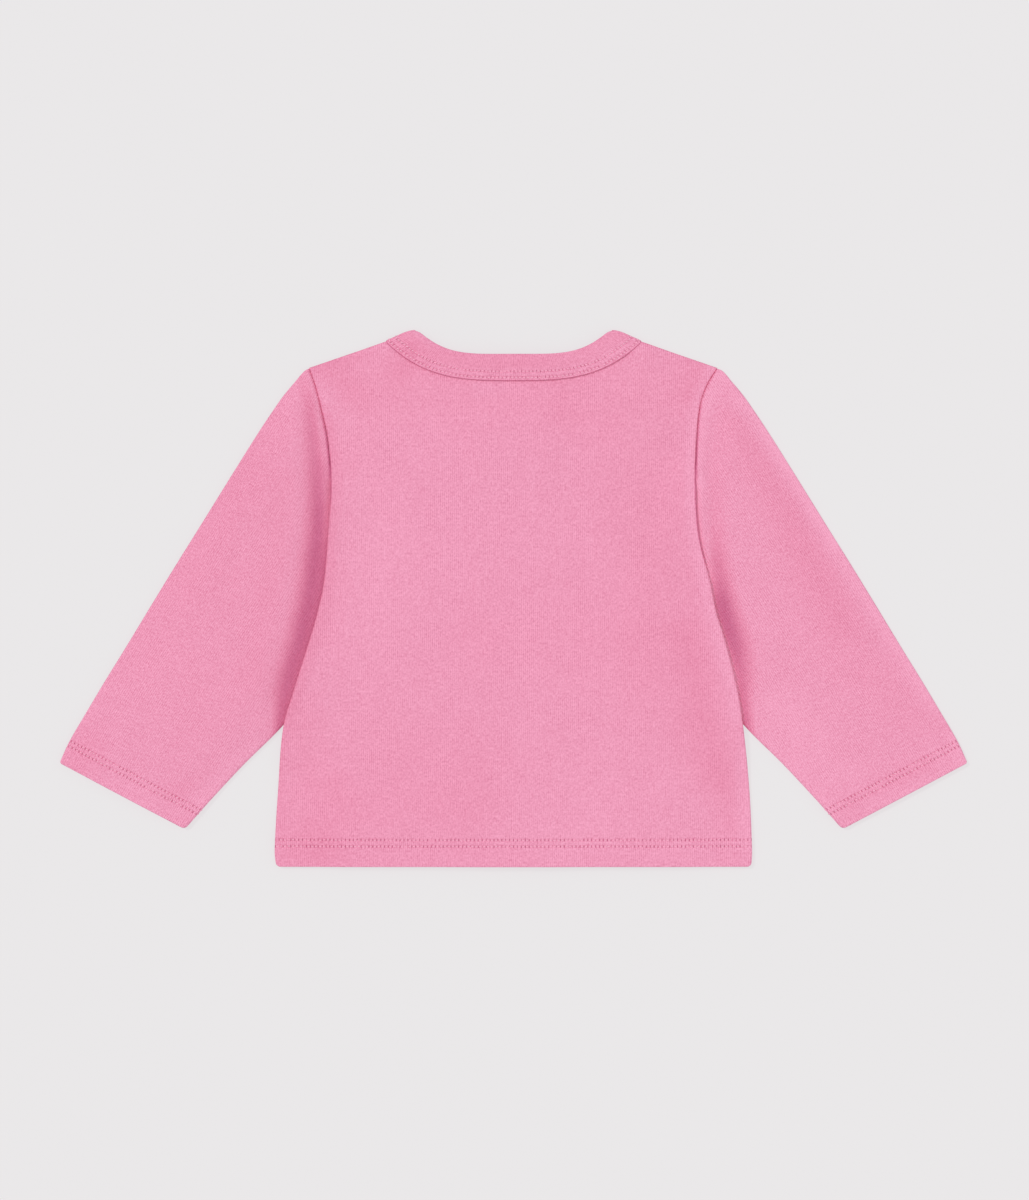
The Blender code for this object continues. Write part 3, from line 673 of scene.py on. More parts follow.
def thinned(from_seam):
    """Share of the wall that is left near a seam."""
    return THINNEST + (1 - THINNEST) * ramp(from_seam, (0.0, SEAM_THINNING))


ROW_PULL, ROW_WIDTH = 0.3, 0.55
PUFF_RISE, PUFF_WIDTH = 0.16, 0.9


def channel(distance, rows):
    """The cloth drawn in along twin rows of stitching, and puffed between them."""
    pulled = sum(bell(distance - row, ROW_WIDTH) for row in rows)
    return PUFF_RISE * bell(distance - sum(rows) / 2, PUFF_WIDTH) - ROW_PULL * pulled


# Panels

EDGE_STEPS = np.array([0, 0.04, 0.12, 0.26, 0.45, 0.7, 1, 1.3, 1.8, 2.5, 3.4, 4.6])
HEM_STEPS = np.array([0, 0.04, 0.13, 0.28, 0.5, 0.8, 1.2, 2, 3.2, 4.6, 6, 7.4, 8.8, 9.8])
STITCH_STEPS = np.arange(10.45, 16.6, 0.55)
FAN_START = 41.5  # above it the rows fan out to the neckline
LEVEL_STEPS = np.arange(18.0, FAN_START - HEM_Y + 1, 2.0)
SHOULDER_STEPS = np.array([1, 0.7, 0.45, 0.26, 0.12, 0.04, 0])
OPENING_STEPS = np.concatenate(
    [
        [38, 34, 30, 26, 23],
        np.arange(21.45, 14.8, -0.55),
        [12.5, 10, 7.5, 5, 3, 1.6, 0.9, 0.55, 0.3, 0.12, 0.03, 0],
    ]
)
MIDDLE_COLUMNS = 52
MIDDLE_SPREAD = 1.12  # columns a little closer towards the side
BACK_NECK_ROWS = 44
FRONT_NECK_ROWS = 52
OVERLAP_ROWS = 8
BACK_CLIMB_ROWS = 40
FRONT_CLIMB_ROWS = 20
NECK_CLEAR = 2.0  # past this over the front neckline the edge is under the band, and not folded


class Half:
    """Half of a body panel as a grid in plan: rows from the hem to the shoulder, columns from the side in."""

    def __init__(self, side, edge_x, neck_y, neckline, climb_rows, free_steps):
        level = HEM_Y + np.concatenate([HEM_STEPS, STITCH_STEPS, LEVEL_STEPS])
        level[-1] = FAN_START
        climb = np.linspace(FAN_START, neck_y, climb_rows + 1)[1:-1]
        fan = np.concatenate([np.stack([np.full(len(climb), edge_x), climb], -1), neckline])
        share = np.arange(1, len(fan) + 1) / len(fan)
        fan_y = FAN_START + (SHOULDER_Y - FOLD - FAN_START) * share
        insets = SHOULDER_STEPS * FOLD
        outer_y = np.concatenate([level, fan_y, SHOULDER_Y - insets[1:]])
        shoulder = fan[-1] + shoulder_frame(side)[2] * (FOLD - insets[1:, None])
        inner = np.concatenate([np.stack([np.full(len(level), edge_x), level], -1), fan, shoulder])
        outer_x = side_x(side, outer_y) - side * corner_inset(outer_y - HEM_Y, HEM_CORNER)
        outer = np.stack([outer_x, outer_y], -1)
        self.centre_rows = len(level) + len(climb) + 1
        length = np.linalg.norm(inner - outer, axis=1)[:, None]
        middle = np.linspace(0.0, 1.0, MIDDLE_COLUMNS + 2)[1:-1] ** MIDDLE_SPREAD
        near = np.broadcast_to(EDGE_STEPS, (len(length), len(EDGE_STEPS)))
        free = length - EDGE_STEPS[-1] - free_steps[0]
        steps = np.concatenate([near, EDGE_STEPS[-1] + free * middle, length - free_steps], axis=1)
        plan = outer[:, None] + (inner - outer)[:, None] * (steps / length)[..., None]
        self.rows, self.columns = steps.shape
        self.x, self.y = plan[..., 0], plan[..., 1]
        self.from_side = steps
        self.from_free = length - steps
        self.up = np.broadcast_to((outer_y - HEM_Y)[:, None], steps.shape).copy()
        self.up[len(level) :] = FAR
        self.from_shoulder = np.full(steps.shape, FAR)
        self.from_shoulder[-len(insets) :] = insets[:, None]
        self.seam = np.maximum(curl(self.from_side), curl(self.from_shoulder))
        self.thin = thinned(np.minimum(self.from_side, self.from_shoulder))
        self.level = seam_level(side, self.x, self.y)
        self.wall = wall_at(self.y - HEM_Y)
        self.hem_fold = self.wall / 2 * curl(self.up, HEM_CLOTH / 2)

    def shell(self, face, fold, way):
        """Points of both faces of the cloth, from the heights of one of them before and after its folds.

        way is 1 where the other face lies under this one, and -1 where it lies over it.
        """
        folded, flat = face
        other = way * flat - self.wall + fold
        other = np.minimum(other * (1 - self.seam) + way * self.level * self.seam, way * folded - THINNEST)
        other = np.where(self.thin < 1, np.minimum(way * folded - self.wall * self.thin, other), other)
        return [np.stack([self.x, self.y, height], -1) for height in (folded, way * other)]


def make_back(name):
    neckline = np.linspace(0.0, 1.0, BACK_NECK_ROWS)
    halves, shells, shades = [], [], []
    for side in (-1, 1):
        neck_y = float(back_neck(side, 0.0, LAP)[1])
        half = Half(side, 0.0, neck_y, back_neck(side, neckline, LAP), BACK_CLIMB_ROWS, np.array([0.0]))
        halves.append(half)
        y = half.y
        top = back_height(side, half.x, y) + channel(half.up, HEM_ROWS)
        face = top - np.maximum((top - half.level) * half.seam, half.hem_fold)
        shells.append(half.shell((face, top), half.hem_fold, 1))
        armhole = ramp(y, ARMHOLE_FOOT)
        line = SEAM_LINE * (1 - SEAM_LINE_FAINTER * ramp(y, SEAM_LINE_FAINT_ABOVE))
        line = (line + SEAM_LINE_DEEPER * ramp(y, SEAM_LINE_DEEP_BELOW)) * ramp(y, SEAM_LINE_END[side])
        line = line * ramp(np.minimum(half.from_side, half.from_shoulder), SEAM_LINE_REACH)
        shade = along_lines(SHADE_PATCHES["back"], half.x, y) + line * armhole
        if side < 0:
            # Painted shade towards the body's left edge
            edge = ramp(half.from_side, LEFT_EDGE_REACH) * ramp(y, LEFT_EDGE_ABOVE) * ramp(y, LEFT_EDGE_BELOW)
            shades.append(shade + LEFT_EDGE_SHADE * edge)
        else:
            # Painted highlight beside the right armhole's seam
            seam_highlight = SEAM_HIGHLIGHT * bell(half.from_side - SEAM_PALE_ON_BODY, SEAM_PALE_REACH)
            shades.append(shade - seam_highlight * armhole)
    outer, inner = np.stack(shells, 1)
    half = halves[0]
    index = np.arange(2 * half.x.size).reshape(2, half.rows, half.columns)
    index[1, : half.centre_rows, -1] = index[0, : half.centre_rows, -1]
    quads = np.concatenate([index[k].ravel()[grid_faces(half.rows, half.columns, k > 0)] for k in (0, 1)])
    x, y, up = (np.array([getattr(each, key) for each in halves]) for key in ("x", "y", "up"))
    maps = {"knit": corner_map(quads, x, y), "stitch": corner_map(quads, x, up)}
    used, compact = np.unique(quads, return_inverse=True)
    faces = [points.reshape(-1, 3)[used] for points in (outer, inner)]
    fields = {"shade": np.array(shades).ravel()[used]}
    obj = cloth_shell(name, *faces, compact.reshape(quads.shape), maps, fields)
    rows = []
    for row in HEM_ROWS:
        r = nearest_index(half.up[:, 0], row)
        rows.append(flat_row(np.concatenate([outer[0, r], outer[1, r, -2::-1]]), 1.0, 0))
    return obj, rows


def make_front(name, side, underside):
    turns = np.linspace(2.0, 1.0, OVERLAP_ROWS), np.linspace(1.0, 0.0, FRONT_NECK_ROWS)[1:]
    neckline = front_neck(side, np.concatenate(turns), LAP)
    half = Half(side, -side * OVERLAP, FRONT_NECK_Y + LAP, neckline, FRONT_CLIMB_ROWS, OPENING_STEPS)
    x, y = half.x, half.y
    low = underside(side, x, y)
    under_band = (half.up == FAR) & (y > FRONT_NECK_Y + NECK_CLEAR)
    fold = np.where(under_band, 0.0, half.wall / 2 * curl(half.from_free, CLOTH / 2))
    fold = np.maximum(half.hem_fold, fold)
    drawn = channel(half.up, HEM_ROWS) + channel(half.from_free, OPENING_ROWS) * ramp(y, OPENING_ROWS_END)
    face = low + np.maximum((half.level - low) * half.seam, fold) + UNDER_DRAWN * np.maximum(-drawn, 0.0)
    outer, inner = half.shell((face, low), fold, -1)
    quads = grid_faces(half.rows, half.columns, side < 0)
    from_free = half.from_free + np.where(y > FRONT_NECK_Y, FAR, 0.0)
    maps = {"knit": (x, y), "stitch": (x, half.up), "edge": (y, from_free)}
    maps = {key: corner_map(quads, *values) for key, values in maps.items()}
    obj = cloth_shell(name, outer, inner, quads, maps, {"shade": FRONT_SEAM_SHADE * half.seam})
    rows = []
    for row in HEM_ROWS:
        line = outer[nearest_index(half.up[:, 0], row)]
        rows.append(flat_row(line if side < 0 else line[::-1], -1.0, 0))
    for row in OPENING_ROWS:
        line = outer[:, nearest_index(half.from_free[0], row)]
        rows.append(flat_row(line[line[:, 1] < FRONT_NECK_Y - 1], -1.0, 1))
    return obj, rows


FRONTS = (("left", -1, inner_front_height), ("right", 1, outer_front_height))


# Sleeves

MOUTH_STEPS = np.append(EDGE_STEPS, 6.0)
CUFF_STEPS = np.append(np.arange(17, 9, -0.55), [8, 6.5, 5, 3.5, 2.2, 1.3, 0.8, 0.5, 0.28, 0.13, 0.04, 0])
SLEEVE_STEP = 1.5
RING_COLUMNS = 54
ARMHOLE_POINTS = 30
ARMHOLE_SMOOTHING = 300
ACROSS_POINTS = 81
SLANT_POINTS = 20  # of a fold, that say how it meets the cuff
NOSE = FOLD * (1 - np.cos(np.linspace(0.0, 1.0, 11) * math.pi / 2))
BOW_FADE = 0.8
SEAM_WALL = 0.3  # least share of the wall that the plies' inner faces leave at a fold
FULL_WALL = 0.99
PLY_CLEARANCE = 0.02


def armhole_edge(side):
    """Sleeve's edge at the armhole: along the body's edge, then hidden under the body to the armpit."""
    y = np.linspace(ARMHOLE_TOP, TUCK_TOP, ARMHOLE_POINTS)
    seam = np.stack([side_x(side, y) - side * UNDER_BODY * ramp(y, UNDER_BODY_BELOW), y], -1)
    hidden = on_side(side, HIDDEN_ARMHOLE + UNDERARM_FOLD[:1])
    return Line(np.concatenate([seam, hidden])).rounded(ARMHOLE_SMOOTHING)


class SleevePlan:
    """A sleeve in plan: lines across it that follow the armhole at one end and the cuff at the other."""

    def __init__(self, side):
        self.armhole = armhole_edge(side)
        self.outer = Line([self.armhole.at(0.0), *on_side(side, OUTER_FOLD)]).rounded()
        self.under = Line(on_side(side, UNDERARM_FOLD)).rounded()
        self.length = self.under.length
        across = self.under.points[-1] - self.outer.points[-1]
        across /= np.linalg.norm(across)
        self.slant = []
        for fold in (self.outer, self.under):
            way = fold.points[-1] - fold.points[-SLANT_POINTS]
            self.slant.append(abs(np.cross(way / np.linalg.norm(way), across)))

    def fold_places(self, to_cuff):
        """Points of both folds at a distance from the cuff."""
        extra = self.outer.length - self.length
        further = extra * ramp(to_cuff, (HEM_DEPTH + CUFF_EASE, self.length - MOUTH_EASE))
        near = ramp(to_cuff, (self.length / 2, HEM_DEPTH))
        outer = (to_cuff + further) / (1 + (self.slant[0] - 1) * near)
        under = to_cuff / (1 + (self.slant[1] - 1) * near)
        return self.outer.at(self.outer.length - outer), self.under.at(self.length - under)

    def across(self, to_cuff):
        """The line from the outer fold to the underarm fold at a distance from the cuff."""
        t = np.linspace(0.0, 1.0, ACROSS_POINTS)[:, None]
        outer, under = self.fold_places(to_cuff)
        bow = self.armhole.at(self.armhole.length * t[:, 0])
        bow = bow - (self.outer.at(0.0) * (1 - t) + self.under.at(0.0) * t)
        fade = ramp(to_cuff, (HEM_DEPTH + CUFF_EASE, self.length)) ** BOW_FADE
        return Line(outer * (1 - t) + under * t + bow * fade)


def sleeve_grid(plan, to_cuff):
    """Points of a ply in plan, and their distances from the outer fold and the underarm fold."""
    middle = np.linspace(0.0, 1.0, RING_COLUMNS + 2)[1:-1]
    rows = []
    for distance in to_cuff:
        line = plan.across(distance)
        trims = [float(corner_inset(distance, radius)) for radius in CUFF_CORNERS]
        span = line.length - sum(trims)
        stops = np.concatenate([NOSE, FOLD + (span - 2 * FOLD) * middle, span - NOSE[::-1]])
        rows.append(np.column_stack([line.at(stops + trims[0]), stops, span - stops]))
    return np.moveaxis(rows, -1, 0)


def sleeve_plies(side, x, y, edges):
    """Heights of a sleeve's two plies: outer faces above and below, and the faces inside them."""
    from_outer, from_under, from_mouth, to_cuff = edges
    wall = wall_at(to_cuff)
    drawn = channel(to_cuff, CUFF_ROWS)
    high = sleeve_height(side, x, y, from_outer, from_under, to_cuff) + drawn
    low = UNDER_DRAWN * np.maximum(-drawn, 0.0)
    follow = ramp(y, SEAM_FOLLOW_ALONG) * ramp(from_mouth, MOUTH_FOLLOW)
    level = FOLD + (seam_level(side, x, y) - FOLD) * follow
    fold = np.maximum(curl(from_outer), curl(from_under))
    mouth = curl(from_mouth)
    hem = wall / 2 * curl(to_cuff, HEM_CLOTH / 2)
    mid_fold = (high + low) / 2
    top = high - np.maximum((high - mid_fold) * fold, hem)
    bottom = low + np.maximum((mid_fold - low) * fold, hem)
    top, bottom = (height * (1 - mouth) + level * mouth for height in (top, bottom))
    thin = thinned(np.minimum(np.minimum(from_outer, from_under), from_mouth))
    thin = np.where((to_cuff < HEM_DEPTH) | (thin > FULL_WALL), 1.0, np.maximum(thin, SEAM_WALL))
    middle = (top + bottom) / 2
    over = np.maximum(high - wall * thin + hem, middle + PLY_CLEARANCE)
    under = np.minimum(low + wall * thin - hem, middle - PLY_CLEARANCE)
    return (top, bottom), (np.minimum(over, top - PLY_CLEARANCE), np.maximum(under, bottom + PLY_CLEARANCE))


def knit_direction(side, points, turn):
    """Wales and courses of a sleeve: across it and down it, mirrored on the ply underneath."""
    top, foot = (on_side(side, OUTER_FOLD[k]) for k in WALES_ALONG)
    axis = (foot - top) / np.linalg.norm(foot - top)
    away = points[..., :2] - top
    across = side * (away[..., 0] * axis[1] - away[..., 1] * axis[0])
    return np.where(np.arange(points.shape[1]) <= turn, across, -across), away @ axis


def make_sleeve(name, side):
    plan = SleevePlan(side)
    middle = np.arange(plan.length - MOUTH_STEPS[-1] - SLEEVE_STEP, CUFF_STEPS[0] + 1, -SLEEVE_STEP)
    to_cuff = np.concatenate([plan.length - MOUTH_STEPS, middle, CUFF_STEPS])
    x, y, from_outer, from_under = sleeve_grid(plan, to_cuff)
    cuff_far = np.broadcast_to(to_cuff[:, None], x.shape)
    from_mouth = plan.length - cuff_far
    outer, inner = sleeve_plies(side, x, y, (from_outer, from_under, from_mouth, cuff_far))

    def ring(upper, lower):
        """Both plies as one loop: over the top from the outer fold, and back underneath."""
        over = np.stack([x, y, upper], -1)
        under = np.stack([x, y, lower], -1)[:, -2:0:-1]
        return np.concatenate([over, under], axis=1)

    outer, inner = ring(*outer), ring(*inner)
    rows, columns = outer.shape[:2]
    loop = np.concatenate([outer, outer[:, :1]], axis=1)
    stitched = nearest_index(to_cuff, CUFF_ROWS[0])
    around = np.append(0.0, np.cumsum(np.linalg.norm(np.diff(loop[stitched], axis=0), axis=1)))
    turn = x.shape[1] - 1
    corners, quads = tube_faces(rows, columns)
    if side > 0:
        corners, quads = corners[:, ::-1], quads[:, ::-1]
    wale, down = knit_direction(side, loop, turn)
    maps = {"knit": corner_map(corners, wale, down), "stitch": corner_map(corners, around, to_cuff[:, None])}
    over = np.arange(columns) <= turn
    ring_x, ring_y = outer[..., 0], outer[..., 1]
    beyond = np.abs(ring_x) - np.abs(side_x(side, ring_y))
    shade = np.where(over, sleeve_shade(side, ring_x, ring_y), 0.0)
    seam = ramp(beyond[:, : turn + 1], SEAM_SHADE_REACH[side]) * ramp(y, SEAM_SHADE_ABOVE)
    seam = SEAM_SHADE * seam_shade_strength(side, y) * np.maximum(ramp(from_mouth, SEAM_SHADE_REACH[side]), seam)
    shade[:, : turn + 1] = np.maximum(shade[:, : turn + 1], seam)
    # Painted shade in soft patches, and painted light beside the right armhole's seam
    painted_shade_and_light = along_lines(SHADE_PATCHES["sleeve"], ring_x, ring_y)
    fields = {}
    if side > 0:
        # Painted highlight beside the right armhole's seam, on the sleeve's side
        more = 1 + SEAM_PALER * ramp(y, SEAM_PALER_BELOW) * ramp(y, SEAM_PALER_ABOVE)
        seam_highlight = SEAM_HIGHLIGHT * more * bell(from_mouth - SEAM_PALE_ON_SLEEVE, SEAM_PALE_REACH)
        painted_shade_and_light[:, : turn + 1] -= seam_highlight * ramp(y, SEAM_PALE_ABOVE)
        # Painted light on the strip of the right sleeve that the body's edge shades
        fields["beside"] = (beyond - BESIDE_PLACE) / BESIDE_WIDTH
        fields["glow"] = BESIDE_PAINTED_LIGHT * ramp(ring_y, BESIDE_ABOVE) * ramp(ring_y, BESIDE_BELOW) * over
    fields = {"shade": shade + painted_shade_and_light * (1 - np.minimum(shade, 1.0)), **fields}
    obj = cloth_shell(name, outer, inner, quads, maps, fields)
    return obj, [around_row(loop[nearest_index(to_cuff, row)], around) for row in CUFF_ROWS]


# Neckband

BRIM_SHARE = 0.98  # how far through its rounding the brim ends
FLAT_HEIGHT = CLOTH + 0.1
FLATTENED = 0.3  # share of the band's height over FLAT_HEIGHT that is left at the shoulder
ROLL_RISE = 0.3  # soft roll over the band's stitching
ROLL_BELOW, ROLL_ABOVE = (6.0, 9.5), (13.8, 10.5)
RIM_SHADE = 0.7
RIM_REACH = (0.6, 0.2)
RIM_POINTS = 8  # of the section
FACE_POINTS = 20
STITCHED_POINTS = 26
BACK_BAND_ROWS = 90
FRONT_BAND_ROWS = 90
FOLD_BAND_ROWS = 15
OVERLAP_BAND_ROWS = 9
SEAM_EDGE = CLOTH + 0.08  # just clear of the panel that the band laps
BACK_FLATTEN = (0.86, 1.0)
FRONT_FLATTEN = (0.14, 0.0)


def band_section():
    """(reach into the band, height) round the band: lip, stitched face, rolled fold and underside."""
    lip = [(0, SEAM_EDGE), (0, CLOTH + 0.4), (0.14, CLOTH + 0.8), (0.34, BAND - 0.16), (0.56, BAND - 0.04)]
    reach = np.concatenate([np.arange(0.8, 6.6, 0.45), [7.4, 8.6, 10, 11.4, 12.6, 13.4]])
    roll = ROLL_RISE * ramp(reach, ROLL_BELOW) * ramp(reach, ROLL_ABOVE)
    face = list(zip(reach, BAND + channel(reach, BAND_ROWS) + roll))
    turn = np.linspace(0.1, 0.9, 8) * math.pi
    radius = BAND / 2
    fold = [(BAND_WIDTH - radius + radius * math.sin(t), radius + radius * math.cos(t)) for t in turn]
    under = [(BAND_WIDTH - 1.4, 0), (11, 0), (8, 0), (LAP + 0.4, 0), (LAP + 0.3, 0.3), (LAP + 0.3, CLOTH)]
    return np.array(lip + face + fold + under + [(LAP - 1, SEAM_EDGE), (2.5, SEAM_EDGE)])


def band_arm(side, underside, reach, up):
    """Rings of the neckband's half, from the middle of the back over the shoulder to the front edge."""
    lapped = np.minimum(reach / LAP, 1.0)
    share = (reach / BAND_WIDTH)[:, None]
    flattest = np.minimum(up, FLAT_HEIGHT) + FLATTENED * np.maximum(up - FLAT_HEIGHT, 0.0)
    end = np.clip((reach - BAND_WIDTH + BRIM_ROUNDING) / BRIM_ROUNDING, 0.0, BRIM_SHARE)
    flattest = flattest * np.sqrt(1 - end**2)
    _, way, out = shoulder_frame(side)
    corner = shoulder_axis(side)
    tip = on_side(side, BRIM_TIP)
    brim = Line([*on_side(side, BRIM), tip]).rounded()

    def ring(plan, base, nearness, upward):
        """A ring on its two base heights, flatter and rounder at the brim as it nears the shoulder."""
        height = base[0] + (base[1] - base[0]) * lapped + upward * (up + (flattest - up) * nearness)
        return np.column_stack([plan, height])

    rings = []
    for across in np.linspace(0.0, 1.0, BACK_BAND_ROWS)[:-1]:
        ends = [back_neck(side, across, r) for r in (0.0, LAP)]
        base = [float(back_height(side, p[0], p[1])) - CLOTH for p in ends]
        plan = ends[0] + (brim.at(brim.length * across) - ends[0]) * share
        rings.append(ring(plan, base, float(ramp(across, BACK_FLATTEN)), 1))
    for angle in np.linspace(0.0, math.pi, FOLD_BAND_ROWS):
        radius = GAP / 2 + flattest
        plan = corner + (tip - corner) * share + out * radius[:, None] * math.sin(angle)
        rings.append(np.column_stack([plan, LIP + GAP + FOLD + radius * math.cos(angle)]))
    turns = np.linspace(0.0, 1.0, FRONT_BAND_ROWS)[1:], np.linspace(1.0, 2.0, OVERLAP_BAND_ROWS)[1:]
    for turn in np.concatenate(turns):
        base = [float(underside(side, *front_neck(side, turn, r))) + CLOTH for r in (0.0, LAP)]
        near = float(ramp(turn, FRONT_FLATTEN))
        plan = front_neck(side, turn, reach) + (tip - corner - way * BAND_WIDTH) * share * near
        rings.append(ring(plan, base, near, -1))
    return rings


def make_neckband(name):
    section = band_section()
    reach, up = section.T
    left, right = (band_arm(side, underside, reach, up) for _, side, underside in FRONTS)
    rings = np.array(left[::-1] + right[1:])
    rows, columns = rings.shape[:2]
    lines = [nearest_index(reach[:FACE_POINTS], row) for row in BAND_ROWS]
    steps = np.linalg.norm(np.diff(rings[:, lines[0]], axis=0), axis=1)
    along = np.append(0.0, np.cumsum(steps))
    arc = np.append(0.0, np.cumsum(np.linalg.norm(np.diff(section, axis=0, append=section[:1]), axis=1)))
    corners, quads = (each[:, [0, 3, 2, 1]] for each in tube_faces(rows, columns))
    last = (rows - 1) * columns
    ends = [tuple(range(columns)), tuple(last + k for k in reversed(range(columns)))]
    distance = np.where(np.arange(columns + 1) < STITCHED_POINTS, np.append(reach, reach[0]), FAR)
    maps = {}
    for key, across, at_ends in (("knit", arc, 0.0), ("stitch", distance, FAR)):
        corner = corner_map(corners, along[:, None], across).reshape(-1, 2)
        maps[key] = np.concatenate([corner, np.full((2 * columns, 2), at_ends)])
    # Painted shade: a dark line under the lip, deeper over the brim, and soft patches
    rim = RIM_SHADE * ramp(reach, RIM_REACH) * (np.arange(columns) < RIM_POINTS)
    brim = BAND_SHADE[0] + (BAND_SHADE[1] - BAND_SHADE[0]) * ramp(reach, BAND_SHADE_REACH)
    shade = (brim + rim + along_lines(SHADE_PATCHES["band"], rings[..., 0], rings[..., 1])).ravel()
    obj = join_up(name, rings.reshape(-1, 3), [tuple(quad) for quad in quads] + ends, maps, {"shade": shade})
    return obj, [
        (rings[:, k], np.cross(np.gradient(rings[:, k], axis=0), rings[:, k + 1] - rings[:, k - 1]), along)
        for k in lines
    ]


# Stitching

# Sections of a stitch: how far from its middle, how thick, and how high
STITCH_SECTIONS = ((-1, 0.35, -0.26), (-0.66, 0.9, -0.02), (0, 1, 0.08), (0.66, 0.9, -0.02), (1, 0.35, -0.26))
STITCH_SIDES = 6
STITCH_WANDER = ((0.05, 2.7), (0.04, 7.1))  # how far sideways, and how quickly it changes along the row
STITCH_SEAT = 0.55  # radii by which a stitch stands over the cloth
ROW_MARGIN = 0.2  # pitches that are left free at a row's ends


def add_stitches(store, line, normals, marks, sizes):
    """Stitches along a line of points, each a short bowed thread, at equal marks along it."""
    pitch = sizes.stitch_pitch / MM
    radius = sizes.thread / MM / 2
    half = sizes.stitch_length / MM / 2
    first, last = math.ceil(marks[0] / pitch + ROW_MARGIN), math.floor(marks[-1] / pitch - ROW_MARGIN)
    centres = (np.arange(first, last) + 0.5) * pitch

    def read(values, at):
        return np.stack([np.interp(at, marks, values[:, k]) for k in range(3)], -1)

    middle = read(line, centres)
    ahead = read(line, centres + half) - read(line, centres - half)
    ahead /= np.linalg.norm(ahead, axis=1)[:, None]
    up = read(normals, centres)
    up -= ahead * np.sum(up * ahead, axis=1)[:, None]
    up /= np.linalg.norm(up, axis=1)[:, None]
    beside = np.cross(ahead, up)
    wander = sum(far * np.sin(centres * quick) for far, quick in STITCH_WANDER)
    for share, girth, lift in STITCH_SECTIONS:
        for k in range(STITCH_SIDES):
            angle = 2 * math.pi * k / STITCH_SIDES
            sideways = (radius * girth * math.cos(angle) + wander)[:, None]
            upward = radius * girth * math.sin(angle) + lift + radius * STITCH_SEAT
            store.append(middle + ahead * half * share + beside * sideways + up * upward)


def make_stitches(name, rows, sizes):
    """One mesh of all the stitches in the rows, each (points, normals, marks)."""
    sides = STITCH_SIDES
    per = len(STITCH_SECTIONS) * sides
    rings = np.arange(per - sides).reshape(-1, sides)
    after = np.roll(rings, -1, axis=1)
    quads = np.stack([rings, after, after + sides, rings + sides], -1).reshape(-1, 4)
    one = [*quads.tolist(), list(reversed(range(sides))), list(range(per - sides, per))]
    points = []
    for line, normals, marks in rows:
        store = []
        add_stitches(store, line, normals, marks, sizes)
        points.append(np.stack(store, 1).reshape(-1, 3))
    points = np.concatenate(points)
    faces = [[at + v for v in face] for at in range(0, len(points), per) for face in one]
    return join_up(name, points, faces, {})


def flat_row(line, upward, axis):
    """A row along a panel: its marks are a coordinate of the plan, so that holes and stitches agree."""
    normals = np.zeros_like(line)
    normals[:, 2] = upward
    return line, normals, line[:, axis]


def around_row(line, marks):
    """A row round a cuff: the normals point away from the middle of the loop at each point."""
    axis = line[len(line) // 2] - line[0]
    axis[2] = 0.0
    normals = np.cross(np.gradient(line, axis=0), np.cross(axis / np.linalg.norm(axis), (0.0, 0.0, 1.0)))
    normals[np.sum(normals * (line - line.mean(axis=0)), axis=1) < 0] *= -1
    return line, normals, marks


# Materials


def both_ways(operation):
    """An operator of Wire that adds a Math node, and its reflected form."""

    def plain(self, other):
        return self.net.maths(operation, self, other)

    def reflected(self, other):
        return self.net.maths(operation, other, self)

    return plain, reflected


class Wire:
    """A shader socket that takes arithmetic; each operator adds a Math node."""

    def __init__(self, net, socket):
        self.net = net
        self.socket = socket

    __add__, __radd__ = both_ways("ADD")
    __sub__, __rsub__ = both_ways("SUBTRACT")
    __mul__, __rmul__ = both_ways("MULTIPLY")
    __truediv__, __rtruediv__ = both_ways("DIVIDE")
    __pow__, __rpow__ = both_ways("POWER")


class Net:
    """The nodes of one material."""

    def __init__(self, name):
        self.material = bpy.data.materials.new(name)
        self.material.use_nodes = True
        self.tree = self.material.node_tree
        self.shader = self.tree.nodes["Principled BSDF"]

    def node(self, kind, settings=None, inputs=None, output=0):
        """A node of any kind: its settings first, then values or wires for its sockets."""
        made = self.tree.nodes.new(kind)
        for key, value in (settings or {}).items():
            setattr(made, key, value)
        self.feed(made, inputs or {})
        return Wire(self, made.outputs[output])

    def feed(self, made, inputs):
        for key, value in inputs.items():
            if isinstance(value, Wire):
                self.tree.links.new(value.socket, made.inputs[key])
            else:
                made.inputs[key].default_value = value

    def maths(self, operation, a, b=0.0):
        return self.node("ShaderNodeMath", {"operation": operation}, {0: a, 1: b})

    def limited(self, value):
        return self.node("ShaderNodeClamp", {}, {"Value": value})

    def between(self, value, none, full):
        """0 at none, 1 at full and smooth between them."""
        inputs = {"Value": value, "From Min": none, "From Max": full}
        return self.node("ShaderNodeMapRange", {"interpolation_type": "SMOOTHSTEP"}, inputs)

    def noise(self, vector, scale, detail=2.0, roughness=0.5):
        inputs = {"Vector": vector, "Scale": scale, "Detail": detail, "Roughness": roughness}
        return self.node("ShaderNodeTexNoise", {}, inputs)

    def mix(self, share, a, b, blend="MIX"):
        """Two colours mixed; with blend MULTIPLY, the first one times a share of the second."""
        settings = {"data_type": "RGBA", "blend_type": blend}
        return self.node("ShaderNodeMix", settings, {0: share, 6: a, 7: b}, output=2)

    def uv(self, name):
        return self.node("ShaderNodeUVMap", {"uv_map": name})

    def attribute(self, name):
        return self.node("ShaderNodeAttribute", {"attribute_name": name}, output="Fac")

    def place(self):
        return self.node("ShaderNodeTexCoord", output="Object")

    def split(self, vector):
        first = self.node("ShaderNodeSeparateXYZ", {}, {0: vector})
        return [Wire(self, socket) for socket in first.socket.node.outputs]

    def stretch(self, vector, scale):
        """A vector times a scale for each of its parts."""
        return self.node("ShaderNodeVectorMath", {"operation": "MULTIPLY"}, {0: vector, 1: scale})

    def bump(self, strength, distance, height):
        return self.node("ShaderNodeBump", {}, {"Strength": strength, "Distance": distance, "Height": height})

    def finish(self, inputs):
        self.feed(self.shader, inputs)
        return self.material


def colour(value):
    return (*value, 1.0)


